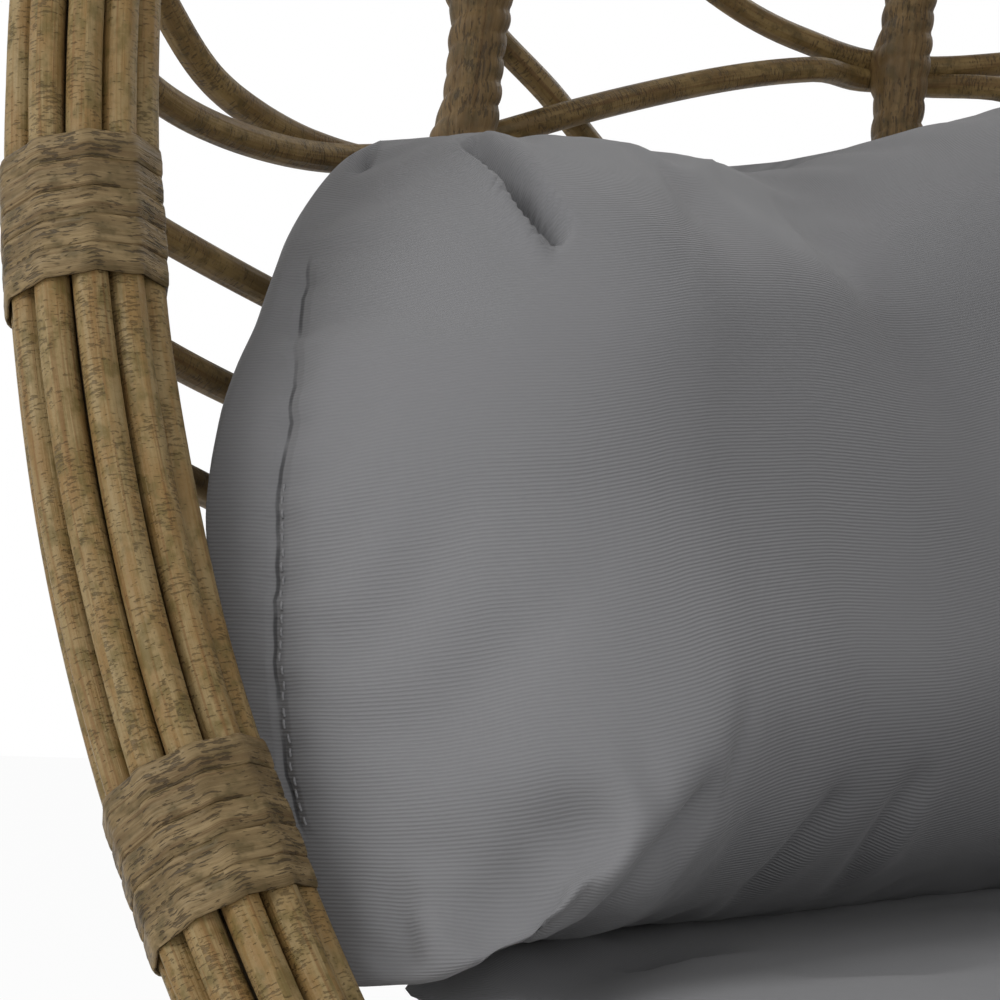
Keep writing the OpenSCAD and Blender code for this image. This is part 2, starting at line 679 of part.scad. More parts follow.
/* ---- base ---- */
socket_t = 4;
socket_length = 130;
plate_x = 90;
plate_y = 170;
base_bolt_y = 66;
module pole_socket() color("black") difference() {
    union() {
        difference() {
            belly(foot_angle - 2, foot_angle + socket_length / belly_r * 180 / PI)
                ring_section(pole_d + 0.4 + 2 * socket_t, socket_t);
            translate([-plate_y, foot_y - plate_y, plate_top - plate_t / 2 - 2 * plate_y])
                cube([2 * plate_y, 2 * plate_y, 2 * plate_y]);
        }
        translate([-plate_x / 2, foot_y - plate_y / 2, plate_top - plate_t])
            cube([plate_x, plate_y, plate_t]);
    }
    cross_hole(socket_bolt_angle, bolt_d + 0.4);
    for (side = [-1, 1]) translate([0, foot_y + side * base_bolt_y, 0])
        cylinder(d = bolt_d + 0.4, h = 2 * plate_top);
}

module socket_bolt() color("silver")
    cross_bolt(socket_bolt_angle, pole_d / 2 + 0.2 + socket_t + seat_gap);

module base_ring() color("black") translate([0, hook_y, base_z])
    rotate_extrude($fn = 144) translate([base_r, 0]) ring_section(base_tube_d, base_wall);

// straight base tube between two distances from the ring's middle
module base_tube(from, to) translate([from, 0, 0]) rotate([0, 90, 0])
    linear_extrude(to - from) ring_section(base_tube_d, base_wall);

inner_reach = base_r - base_tube_d / 2 - seat_gap;
module base_spine() color("black") difference() {
    translate([0, hook_y, base_z]) rotate([0, 0, 90]) base_tube(-inner_reach, inner_reach);
    for (side = [-1, 1]) translate([0, foot_y + side * base_bolt_y, 0])
        cylinder(d = bolt_d + 0.4, h = 2 * plate_top);
}

module base_cross_tubes() color("black") translate([0, hook_y, base_z])
    for (side = [0, 1]) mirror([side, 0, 0])
        base_tube(base_tube_d / 2 + seat_gap, inner_reach);

module base_bolts() color("silver")
    for (side = [-1, 1]) translate([0, foot_y + side * base_bolt_y, 0]) {
        translate([0, 0, 1]) cylinder(d = bolt_d, h = plate_top + seat_gap - 1);
        translate([0, 0, plate_top + seat_gap]) cylinder(d = 14, h = 5);
        translate([0, 0, 1]) difference() {
            cylinder(d = 15, h = foot_h - 1 - seat_gap, $fn = 6);
            translate([0, 0, -1]) cylinder(d = bolt_d + 0.1, h = foot_h + 2);
        }
    }

module base_feet() color("dimgray") difference() {
    for (i = [0:feet_n - 1]) translate([0, hook_y, 0]) rotate([0, 0, (i + 0.5) * 360 / feet_n])
        translate([base_r, 0, 0]) cylinder(d = 46, h = foot_h + 8);
    translate([0, hook_y, base_z]) rotate_extrude($fn = 180)
        translate([base_r, 0]) circle(d = base_tube_d + 2 * seat_gap);
    // the spine ends over the front and rear feet
    translate([0, hook_y, base_z]) rotate([90, 0, 0])
        cylinder(d = base_tube_d + 4 * seat_gap, h = 2 * base_r, center = true);
}

rim_tube();
rim_canes();
rim_bindings();
crown_hoop();
foot_hoop();
upright(1);  // upright_1
upright(2);  // upright_2
upright(3);  // upright_3
upright(4);  // upright_4
upright(5);  // upright_5
upright(6);  // upright_6
upright(7);  // upright_7
upright_wrapping();
weave_bay(0);  // weave_bay_1
weave_bay(1);  // weave_bay_2
weave_bay(2);  // weave_bay_3
weave_bay(3);  // weave_bay_4
weave_bay(4);  // weave_bay_5
weave_bay(5);  // weave_bay_6
weave_bay(6);  // weave_bay_7
weave_bay(7);  // weave_bay_8
back_cushion();
seat_cushion();
hanging_lug();
shackle_bow();
shackle_pin();
shackle_nut();
swivel_barrel();
swivel_spindle();
spindle_nut();
spring_lower_plug();
spring();
spring_upper_plug();
carabiner_frame();
carabiner_gate();
carabiner_gate_pin();
eye_bolt();
eye_bolt_nut();
eye_bolt_washers();
pole_upper();
pole_lower();
pole_sleeve();
pole_bolts();
pole_end_plug();
pole_socket();
socket_bolt();
base_ring();
base_spine();
base_cross_tubes();
base_bolts();
base_feet();
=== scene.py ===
# %% [markdown]
# # Hanging egg chair
# The engineering frame already holds every solid of the chair: the basket of bent tubes and canes,
# the cushions, the suspension and the stand. This lesson dresses it. Hard parts keep their solids
# and get a finish. Canes, wound strips and cushions are made again here, because their real shape
# is too loose and too fine for an engineering solid.

# %% Load the frame
import math
import bmesh
import bpy
import numpy as np
from mathutils import Matrix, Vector
from mathutils.kdtree import KDTree


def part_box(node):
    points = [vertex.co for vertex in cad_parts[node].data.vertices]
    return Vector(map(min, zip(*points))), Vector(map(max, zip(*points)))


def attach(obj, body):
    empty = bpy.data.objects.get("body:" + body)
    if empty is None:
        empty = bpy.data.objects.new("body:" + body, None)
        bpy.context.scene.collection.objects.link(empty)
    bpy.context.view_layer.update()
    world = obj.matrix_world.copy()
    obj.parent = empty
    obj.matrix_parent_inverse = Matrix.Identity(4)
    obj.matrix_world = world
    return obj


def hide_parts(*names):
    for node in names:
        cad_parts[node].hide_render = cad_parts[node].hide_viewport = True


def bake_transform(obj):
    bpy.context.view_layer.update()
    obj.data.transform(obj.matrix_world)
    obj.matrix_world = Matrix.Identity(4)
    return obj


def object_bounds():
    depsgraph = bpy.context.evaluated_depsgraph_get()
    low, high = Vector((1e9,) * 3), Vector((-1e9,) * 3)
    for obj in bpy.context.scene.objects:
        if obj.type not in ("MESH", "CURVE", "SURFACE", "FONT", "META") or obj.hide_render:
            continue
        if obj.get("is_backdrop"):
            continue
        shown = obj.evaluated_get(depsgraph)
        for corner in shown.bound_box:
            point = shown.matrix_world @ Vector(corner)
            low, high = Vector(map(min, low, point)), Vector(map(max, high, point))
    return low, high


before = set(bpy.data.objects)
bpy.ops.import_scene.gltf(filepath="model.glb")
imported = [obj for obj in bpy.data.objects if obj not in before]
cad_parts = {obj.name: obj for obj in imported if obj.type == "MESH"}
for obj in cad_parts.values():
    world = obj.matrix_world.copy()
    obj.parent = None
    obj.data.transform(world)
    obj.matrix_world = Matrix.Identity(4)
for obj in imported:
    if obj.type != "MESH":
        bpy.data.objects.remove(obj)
cad_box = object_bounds()

# %% [markdown]
# ## The egg
# The rim is an egg made of four pairs of arcs that meet in line, and the bowl is that same outline
# turned about its long axis. So one function for the outline and one for the bowl place every cane.
# Basket coordinates are x to the right, n backwards from the rim, p up along the rim. The rim leans
# back by TILT, because the basket balances below its hook.

# %% Outline of the egg
HALF_WIDTH, RISE, DROP = 0.470, 0.660, 0.514
TILT = math.radians(14.0)
HOOK_Y, LUG_P, LUG_N = -0.038, 0.712, -0.012
EGG_Y = HOOK_Y - LUG_P * math.sin(TILT) - LUG_N * math.cos(TILT)
EGG_Z = 0.850
CANE_R, RING_R = 0.0045, 0.0155
# by how much the radius of each side arc passes the egg's reach above and below its widest place
UP_EXTRA, LOW_EXTRA = 0.160, 0.048
UP_SIDE_R, LOW_SIDE_R = RISE + UP_EXTRA, DROP + LOW_EXTRA
UP_END_R = HALF_WIDTH - (RISE - HALF_WIDTH) ** 2 / (2 * UP_EXTRA)
LOW_END_R = HALF_WIDTH - (DROP - HALF_WIDTH) ** 2 / (2 * LOW_EXTRA)


def meet_angle(rise, side_r, end_r):
    """Angle on the side arc at which the end arc takes over."""
    return math.atan2(rise - end_r, side_r - HALF_WIDTH)


UP_MEET = meet_angle(RISE, UP_SIDE_R, UP_END_R)
LOW_MEET = meet_angle(DROP, LOW_SIDE_R, LOW_END_R)


def outline_at(s):
    """Distance from the long axis and height at s metres along the outline, up from its widest place."""
    s = np.asarray(s, float)
    up, run = s >= 0, np.abs(s)
    side_r, end_r = np.where(up, UP_SIDE_R, LOW_SIDE_R), np.where(up, UP_END_R, LOW_END_R)
    meet, rise = np.where(up, UP_MEET, LOW_MEET), np.where(up, RISE, DROP)
    on_side = run < side_r * meet
    angle = np.where(on_side, run / side_r, meet + (run - side_r * meet) / end_r)
    out = np.where(on_side, HALF_WIDTH - side_r + side_r * np.cos(angle), end_r * np.cos(angle))
    high = np.where(on_side, side_r * np.sin(angle), rise - end_r + end_r * np.sin(angle))
    return out, np.where(up, high, -high)


UP_LENGTH = UP_SIDE_R * UP_MEET + UP_END_R * (math.pi / 2 - UP_MEET)
LOW_LENGTH = LOW_SIDE_R * LOW_MEET + LOW_END_R * (math.pi / 2 - LOW_MEET)
table_s = np.linspace(-LOW_LENGTH, UP_LENGTH, 4001)
table_r, table_p = outline_at(table_s)


def rho(p):
    """Radius of the bowl at height p."""
    return np.interp(p, table_p, table_r)


def place(x, n, p):
    """World points for basket coordinates."""
    x, n, p = np.broadcast_arrays(x, n, p)
    return np.stack([x, EGG_Y + p * math.sin(TILT) + n * math.cos(TILT),
                     EGG_Z + p * math.cos(TILT) - n * math.sin(TILT)], -1)


def wall_normal(p):
    """Outward and upward parts of the bowl's normal at height p."""
    step = 0.001
    slope = (rho(p + step) - rho(p - step)) / (2 * step)
    size = np.sqrt(1 + slope ** 2)
    return 1 / size, -slope / size


def on_bowl(psi, p, out=0.0):
    """World points on the bowl at angle psi from the left rim, lifted out from the wall."""
    level, up = wall_normal(p)
    r = rho(p) + out * level
    return place(-r * np.cos(psi), r * np.sin(psi), p + out * up)


print("rim length %.3f m" % (2 * (UP_LENGTH + LOW_LENGTH)))

# %% [markdown]
# ## Camera and light
# The view is a close one on the left side of the rim, from in front and a little below the shoulder,
# with a long lens. The light is plain studio light: one broad soft lamp up on the left, a weaker one
# on the right, and an even pale world. The white behind the chair is the world's own colour for
# camera rays, so it adds no light to the object.

# %% Camera
CAMERA_AT = (-0.1153, -0.6160 + EGG_Y, -0.1959 + EGG_Z)
CAMERA_YAW, CAMERA_PITCH = math.radians(21.33), math.radians(-1.82)
# the lens is given by its focal length in pixels of a picture this wide
CAMERA_FOCUS, PICTURE_WIDTH, SENSOR_WIDTH = 2661.8, 1000.0, 36.0


def camera_matrix(at, yaw, pitch):
    """A camera that looks along +Y, turned left by yaw and down by pitch."""
    right = np.array([math.cos(yaw), math.sin(yaw), 0.0])
    ahead = np.array([-math.sin(yaw) * math.cos(pitch), math.cos(yaw) * math.cos(pitch), -math.sin(pitch)])
    up = np.cross(right, ahead)
    m = np.eye(4)
    m[:3, 0], m[:3, 1], m[:3, 2], m[:3, 3] = right, up, -ahead, at
    return Matrix(m.tolist())


scene = bpy.context.scene
camera_data = bpy.data.cameras.new("camera")
camera_data.sensor_width = SENSOR_WIDTH
camera_data.lens = CAMERA_FOCUS * SENSOR_WIDTH / PICTURE_WIDTH
camera = bpy.data.objects.new("camera", camera_data)
camera.matrix_world = camera_matrix(CAMERA_AT, CAMERA_YAW, CAMERA_PITCH)
scene.collection.objects.link(camera)
scene.camera = camera
print("lens %.1f mm" % camera_data.lens)

# %% Lamps
def soft_lamp(name, at, target, size, power):
    """A square area lamp that faces the target."""
    data = bpy.data.lights.new(name, "AREA")
    data.size, data.energy = size, power
    lamp = bpy.data.objects.new(name, data)
    ahead = np.array(target, float) - np.array(at, float)
    lamp.matrix_world = camera_matrix(at, math.atan2(-ahead[0], ahead[1]),
                                      math.atan2(-ahead[2], math.hypot(ahead[0], ahead[1])))
    scene.collection.objects.link(lamp)
    print("%s: %.0f W" % (name, power))


soft_lamp("key_lamp", (-1.9, -2.6, 2.6), (0, 0, 0.9), 1.8, 62)
soft_lamp("fill_lamp", (2.4, -2.2, 1.6), (0, 0, 0.8), 2.2, 16)
soft_lamp("back_lamp", (0.3, 2.6, 2.4), (0, 0, 1.0), 1.8, 26)

# %% World
WORLD_LIGHT, WORLD_SEEN = 0.62, 1.0


def seen_rays(tree):
    """1 for camera, mirror and see-through rays, 0 for light."""
    path = tree.nodes.new("ShaderNodeLightPath")
    total = None
    for ray in ("Is Camera Ray", "Is Glossy Ray", "Is Transmission Ray"):
        if total is None:
            total = path.outputs[ray]
            continue
        most = tree.nodes.new("ShaderNodeMath")
        most.operation = "MAXIMUM"
        tree.links.new(total, most.inputs[0])
        tree.links.new(path.outputs[ray], most.inputs[1])
        total = most.outputs[0]
    return total


world = bpy.data.worlds.new("studio")
scene.world = world
world.use_nodes = True
sky = world.node_tree
sky.nodes.clear()
world_out = sky.nodes.new("ShaderNodeOutputWorld")
world_mix = sky.nodes.new("ShaderNodeMixShader")
for at, strength in ((1, WORLD_LIGHT), (2, WORLD_SEEN)):
    shade = sky.nodes.new("ShaderNodeBackground")
    shade.inputs["Color"].default_value = (1, 1, 1, 1)
    shade.inputs["Strength"].default_value = strength
    sky.links.new(shade.outputs[0], world_mix.inputs[at])
sky.links.new(seen_rays(sky), world_mix.inputs[0])
sky.links.new(world_mix.outputs[0], world_out.inputs[0])
scene.view_settings.view_transform = "Standard"
print("world light %.2f, seen as %.2f" % (WORLD_LIGHT, WORLD_SEEN))

# %% [markdown]
# ## Helpers for shaders and meshes
# A shader graph is short to write when a value or a socket can go into any input, so two small
# helpers do that. Colours are given as they look on a screen and turned to linear light.

# %% Shader helpers
def screen(r, g, b):
    """Linear colour for a screen colour from 0 to 255."""
    line = [c / 255 / 12.92 if c <= 10 else ((c / 255 + 0.055) / 1.055) ** 2.4 for c in (r, g, b)]
    return (*line, 1.0)


def put(tree, socket, value):
    """Links a socket, or sets a value, on an input."""
    if isinstance(value, bpy.types.NodeSocket):
        tree.links.new(value, socket)
    elif value is not None:
        socket.default_value = value


def node(tree, kind, inputs=(), out=0, **settings):
    """Adds a node, sets it and its inputs, and returns one output."""
    made = tree.nodes.new(kind)
    for key, value in settings.items():
        setattr(made, key, value)
    for key, value in dict(inputs).items():
        put(tree, made.inputs[key], value)
    return made.outputs[out]


def maths(tree, operation, a, b=None, c=None):
    """One step of arithmetic on sockets or numbers."""
    return node(tree, "ShaderNodeMath", {i: v for i, v in enumerate((a, b, c)) if v is not None},
                operation=operation)


def remap(tree, value, low, high, to_low=0.0, to_high=1.0):
    """Maps low to high onto another range, smoothly and clamped."""
    return node(tree, "ShaderNodeMapRange", {"Value": value, "From Min": low, "From Max": high,
                                             "To Min": to_low, "To Max": to_high},
                interpolation_type="SMOOTHSTEP")


def blend_colour(tree, factor, a, b):
    """Colour a where the factor is 0, b where it is 1."""
    made = tree.nodes.new("ShaderNodeMix")
    made.data_type = "RGBA"
    put(tree, made.inputs[0], factor)
    put(tree, made.inputs[6], a)
    put(tree, made.inputs[7], b)
    return made.outputs[2]


def new_group(name, inputs, outputs):
    """A shader node group with named inputs and outputs; returns the tree, its inputs and its outputs."""
    tree = bpy.data.node_groups.new(name, "ShaderNodeTree")
    for label, kind, default in inputs:
        made = tree.interface.new_socket(label, in_out="INPUT", socket_type=kind)
        if default is not None:
            made.default_value = default
    for label, kind in outputs:
        tree.interface.new_socket(label, in_out="OUTPUT", socket_type=kind)
    return tree, tree.nodes.new("NodeGroupInput").outputs, tree.nodes.new("NodeGroupOutput").inputs


def use_group(tree, group, out=0, **inputs):
    """Places a group with its own values and returns one of its outputs."""
    made = tree.nodes.new("ShaderNodeGroup")
    made.node_tree = group
    for label, value in inputs.items():
        put(tree, made.inputs[label.replace("_", " ")], value)
    return made.outputs[out]


def new_material(name, **fixed):
    """A material with one Principled shader; fixed values go straight onto its sockets."""
    mat = bpy.data.materials.new(name)
    mat.use_nodes = True
    tree = mat.node_tree
    tree.nodes.clear()
    shader = tree.nodes.new("ShaderNodeBsdfPrincipled")
    tree.links.new(shader.outputs[0], tree.nodes.new("ShaderNodeOutputMaterial").inputs[0])
    for label, value in fixed.items():
        shader.inputs[label.replace("_", " ")].default_value = value
    return mat, tree, shader


def bump(tree, height, distance, strength):
    """The normal that a height gives to a flat skin."""
    return node(tree, "ShaderNodeBump", {"Height": height, "Distance": distance, "Strength": strength})


# %% [markdown]
# ## Swept shapes
# Canes, strips, winding, spring wire and even the cushions' panels are grids of points: rows along the
# piece and columns round it. Blender's curves could sweep most of them, but a grid built here keeps a
# map in metres, which the finishes need, and lets a section change from row to row.

# %% Grids and tubes
class Shell:
    """Collects swept pieces as points, faces and map coordinates, for one mesh."""

    def __init__(self):
        self.points, self.faces, self.maps, self.count = [], [], [], 0

    def grid(self, points, u, v, wrap_u=False, wrap_v=False):
        """Adds a rows-by-columns grid of points; u runs along the columns and v along the rows."""
        rows, cols = points.shape[:2]
        if u.ndim == 1:
            u, v = np.broadcast_arrays(u[None, :], v[:, None])
        i = np.arange(rows if wrap_v else rows - 1)[:, None]
        j = np.arange(cols if wrap_u else cols - 1)[None, :]
        corner = lambda a, b: self.count + (a % rows) * cols + (b % cols)
        faces = np.stack([corner(i, j), corner(i, j + 1), corner(i + 1, j + 1), corner(i + 1, j)], -1)
        spot = lambda a, b: np.stack([u[a, b], v[a, b]], -1)
        maps = np.stack([spot(i, j), spot(i, j + 1), spot(i + 1, j + 1), spot(i + 1, j)], -2)
        self.points.append(points.reshape(-1, 3))
        self.faces += faces.reshape(-1, 4).tolist()
        self.maps.append(maps.reshape(-1, 2))
        self.count += rows * cols

    def cap(self, start, cols, backwards):
        """Closes one end of the grid whose end row starts at point start."""
        ring = list(range(start, start + cols))
        self.faces.append(ring[::-1] if backwards else ring)
        self.maps.append(np.zeros((cols, 2)))

    def tube(self, path, side, section, shift=0.0, closed=False):
        """Sweeps a closed section (its first axis along side) along a path, with capped ends."""
        ahead = np.gradient(path, axis=0)
        if closed:
            ahead = np.roll(path, -1, 0) - np.roll(path, 1, 0)
        ahead /= np.linalg.norm(ahead, axis=1)[:, None]
        side = side - (side * ahead).sum(1)[:, None] * ahead
        side = side / np.linalg.norm(side, axis=1)[:, None]
        across = np.cross(ahead, side)
        section = np.broadcast_to(section, (len(path),) + section.shape[-2:])
        points = (path[:, None] + side[:, None] * section[..., 0:1] + across[:, None] * section[..., 1:2])
        around = np.linalg.norm(np.roll(section[0], -1, 0) - section[0], axis=1)
        along = np.linalg.norm(np.diff(path, axis=0), axis=1)
        u = shift + np.concatenate([[0], np.cumsum(around)])
        v = shift + np.concatenate([[0], np.cumsum(along)])
        if closed:
            v = np.append(v, v[-1] + np.linalg.norm(path[0] - path[-1]))
        start = self.count
        self.grid(points, u, v, wrap_u=True, wrap_v=closed)
        if not closed:
            self.cap(start, section.shape[1], True)
            self.cap(self.count - section.shape[1], section.shape[1], False)

    def build(self, name, material):
        """Makes the collected shapes one smooth mesh object."""
        mesh = bpy.data.meshes.new(name)
        mesh.from_pydata(np.concatenate(self.points).tolist(), [], self.faces)
        mesh.uv_layers.new(name="surface").data.foreach_set(
            "uv", np.concatenate(self.maps).astype(np.float32).ravel())
        mesh.polygons.foreach_set("use_smooth", [True] * len(mesh.polygons))
        mesh.materials.append(material)
        mesh.validate()
        made = bpy.data.objects.new(name, mesh)
        scene.collection.objects.link(made)
        print("%s: %d faces" % (name, len(mesh.polygons)))
        return made


def ring_section(radius, sides):
    """A round section."""
    turn = np.arange(sides) * 2 * math.pi / sides
    return np.stack([radius * np.cos(turn), radius * np.sin(turn)], -1)


def gentle_noise(x, seed, waves=5):
    """A smooth random curve of about unit size: a few sines with seeded phases."""
    rng = np.random.default_rng(seed)
    total = 0
    for k in range(1, waves + 1):
        total = total + np.sin(k * x * rng.uniform(0.8, 1.25) + rng.uniform(0, 6.28)) / k ** 0.7
    return total / 1.6


# %% [markdown]
# ## Finishes
# The canes are resin made to look like rattan: a straw ground with olive and brown patches, short dark
# flecks, and fine ridges along their length. The wound strips are the same stuff, flatter, greyer and
# more streaked. All three share two shader groups, one for streaks that run along a piece and one for
# flecks. Both read the piece's own map, whose units are metres along and around it.

# %% Groups for streaks and flecks
MAP_INPUT = ("Map", "NodeSocketVector", None)


def drawn_out(tree, inside):
    """The map, scaled by a group's own numbers along and across the piece."""
    scale = node(tree, "ShaderNodeCombineXYZ", {0: inside["Across"], 1: inside["Along"], 2: 1.0})
    return node(tree, "ShaderNodeVectorMath", {0: inside["Map"], 1: scale}, operation="MULTIPLY")


streaks, inside, leave = new_group("streaks", [MAP_INPUT, ("Across", "NodeSocketFloat", 700.0),
                                               ("Along", "NodeSocketFloat", 20.0)],
                                   [("Value", "NodeSocketFloat")])
put(streaks, leave["Value"], node(streaks, "ShaderNodeTexNoise", {
    "Vector": drawn_out(streaks, inside), "Scale": 1.0, "Detail": 3.0, "Roughness": 0.6}))

flecks, inside, leave = new_group("flecks", [MAP_INPUT, ("Across", "NodeSocketFloat", 420.0),
                                             ("Along", "NodeSocketFloat", 420.0),
                                             ("Share", "NodeSocketFloat", 0.4)],
                                  [("Mask", "NodeSocketFloat")])
fine = node(flecks, "ShaderNodeTexNoise", {"Vector": drawn_out(flecks, inside), "Scale": 1.0,
                                           "Detail": 2.0, "Roughness": 0.7})
patches = node(flecks, "ShaderNodeTexNoise", {"Vector": inside["Map"], "Scale": 60.0, "Detail": 2.0})
edge = maths(flecks, "SUBTRACT", 0.86, maths(flecks, "MULTIPLY", inside["Share"],
                                             maths(flecks, "ADD", patches, 0.1)))
put(flecks, leave["Mask"], remap(flecks, fine, edge, maths(flecks, "ADD", edge, 0.07)))
print("groups:", streaks.name, "and", flecks.name)


# %% Resin cane and strip
def resin(name, pale, tan, olive, rust, dark, dash=(340, 1250), share=0.5, mark=0.6, depth=0.0006):
    """Straw-coloured resin with pale, olive and rusty patches, short dark dashes and fine ridges; the grain's
    raised streaks are paler and its low ones more olive, partly as painted highlight and painted shade.
    """
    mat, tree, shader = new_material(name, Specular_IOR_Level=0.3)
    surface = node(tree, "ShaderNodeUVMap", uv_map="surface")
    tone = use_group(tree, streaks, Map=surface, Across=190, Along=34)
    moss = use_group(tree, streaks, Map=surface, Across=170, Along=130)
    ridge = use_group(tree, streaks, Map=surface, Across=620, Along=13)
    grain_and_painted_light = use_group(tree, streaks, Map=surface, Across=dash[0] * 1.3, Along=dash[1] * 0.8)
    dashes = use_group(tree, flecks, Map=surface, Across=dash[0], Along=dash[1], Share=share)
    ground = blend_colour(tree, remap(tree, tone, 0.38, 0.62), screen(*pale), screen(*tan))
    ground = blend_colour(tree, remap(tree, moss, 0.47, 0.66, 0.0, 0.8), ground, screen(*olive))
    ground = blend_colour(tree, remap(tree, ridge, 0.52, 0.68, 0.0, 0.6), ground, screen(*rust))
    # the grain is partly real tone and partly painted light: paler on its raised streaks (painted highlight),
    # more olive in its low ones (painted shade)
    ground = blend_colour(tree, remap(tree, grain_and_painted_light, 0.56, 0.74, 0.0, 0.45), ground, screen(*pale))
    ground = blend_colour(tree, remap(tree, grain_and_painted_light, 0.44, 0.30, 0.0, 0.4), ground, screen(*olive))
    ground = blend_colour(tree, maths(tree, "MULTIPLY", dashes, mark), ground, screen(*dark))
    put(tree, shader.inputs["Base Color"], ground)
    put(tree, shader.inputs["Roughness"], remap(tree, ridge, 0.3, 0.7, 0.5, 0.7))
    height = maths(tree, "SUBTRACT", maths(tree, "MULTIPLY_ADD", grain_and_painted_light, 0.3, ridge),
                   maths(tree, "MULTIPLY", dashes, 0.4))
    put(tree, shader.inputs["Normal"], bump(tree, height, depth, 0.8))
    return mat


rim_resin = resin("rim_resin", (138, 118, 80), (127, 100, 58), (98, 83, 42), (110, 77, 42), (60, 45, 18),
                  share=0.47, mark=0.55)
weave_resin = resin("weave_resin", (124, 102, 62), (100, 78, 42), (83, 67, 33), (87, 59, 30), (51, 37, 17),
                    mark=0.6)
strip_resin = resin("strip_resin", (132, 112, 78), (98, 80, 50), (80, 67, 37), (84, 60, 34), (48, 36, 19),
                    dash=(1150, 190), share=0.50, mark=0.7, depth=0.0009)
wrap_resin = resin("wrap_resin", (108, 86, 52), (87, 67, 36), (71, 57, 27), (76, 52, 26), (40, 29, 13),
                   dash=(900, 200), mark=0.6)

# %% [markdown]
# ## Fabric
# The covers are a plain grey outdoor cloth with a fine level rib. The rib is one group that gives a
# height and a mask, so that it can lift the surface and darken the colour a little in its valleys, as
# painted shade. A slow noise makes it come and go, as it does where real cloth is pulled flat. A second
# group draws the groove of a seam and a dark line along it, which is painted shade in the groove, from a
# map that holds each point's distance from the seam and its height.

# %% Ribbed cloth
ribs, inside, leave = new_group("ribs", [MAP_INPUT, ("Pitch", "NodeSocketFloat", 0.001),
                                         ("Waver", "NodeSocketFloat", 0.35)],
                                [("Height", "NodeSocketFloat"), ("Strength", "NodeSocketFloat")])
level = node(ribs, "ShaderNodeSeparateXYZ", {0: inside["Map"]}, out=1)
drawn = node(ribs, "ShaderNodeVectorMath", {0: inside["Map"], 1: (70.0, 420.0, 1.0)}, operation="MULTIPLY")
waver = node(ribs, "ShaderNodeTexNoise", {"Vector": drawn, "Scale": 1.0, "Detail": 2.0})
phase = maths(ribs, "ADD", maths(ribs, "DIVIDE", level, inside["Pitch"]),
              maths(ribs, "MULTIPLY", waver, inside["Waver"]))
wave = maths(ribs, "SINE", maths(ribs, "MULTIPLY", phase, 2 * math.pi))
fade = node(ribs, "ShaderNodeTexNoise", {"Vector": inside["Map"], "Scale": 9.0, "Detail": 3.0})
strength = remap(ribs, fade, 0.34, 0.62, 0.25, 1.0)
put(ribs, leave["Height"], maths(ribs, "MULTIPLY", maths(ribs, "MULTIPLY_ADD", wave, 0.5, 0.5), strength))
put(ribs, leave["Strength"], strength)
print("group:", ribs.name)

# %% Sewn line
# heights over the egg's middle between which the line and its groove come in and go out
SEWN_FROM, SEWN_UP_TO = (-0.258, -0.250), (-0.105, -0.113)
sewing, inside, leave = new_group("sewing", [MAP_INPUT, ("Line", "NodeSocketFloat", 0.0005),
                                             ("Groove", "NodeSocketFloat", 0.003)],
                                  [("Line", "NodeSocketFloat"), ("Groove", "NodeSocketFloat")])
beside, up_cloth = (node(sewing, "ShaderNodeSeparateXYZ", {0: inside["Map"]}, out=axis) for axis in (0, 1))
wriggle = node(sewing, "ShaderNodeTexNoise", {"Vector": inside["Map"], "Scale": 90.0, "Detail": 1.0})
wriggle = maths(sewing, "MULTIPLY_ADD", wriggle, 0.0016, -0.0008)
apart = maths(sewing, "ABSOLUTE", maths(sewing, "ADD", beside, wriggle))
above, below = remap(sewing, up_cloth, *SEWN_FROM), remap(sewing, up_cloth, *SEWN_UP_TO)
sewn_part = maths(sewing, "MULTIPLY", above, below)
# painted shade along the seam: a dark line over the groove, made patchy by this noise
wear_and_seam_shade = node(sewing, "ShaderNodeTexNoise", {"Vector": inside["Map"], "Scale": 55.0})
line = remap(sewing, maths(sewing, "DIVIDE", apart, inside["Line"]), 1.6, 0.5)
groove = remap(sewing, maths(sewing, "DIVIDE", apart, inside["Groove"]), 1.0, 0.0)
put(sewing, leave["Line"], maths(sewing, "MULTIPLY", maths(sewing, "MULTIPLY", line, sewn_part),
                                 remap(sewing, wear_and_seam_shade, 0.38, 0.55, 0.25, 1.0)))
put(sewing, leave["Groove"], maths(sewing, "MULTIPLY", groove, sewn_part))
print("group:", sewing.name)


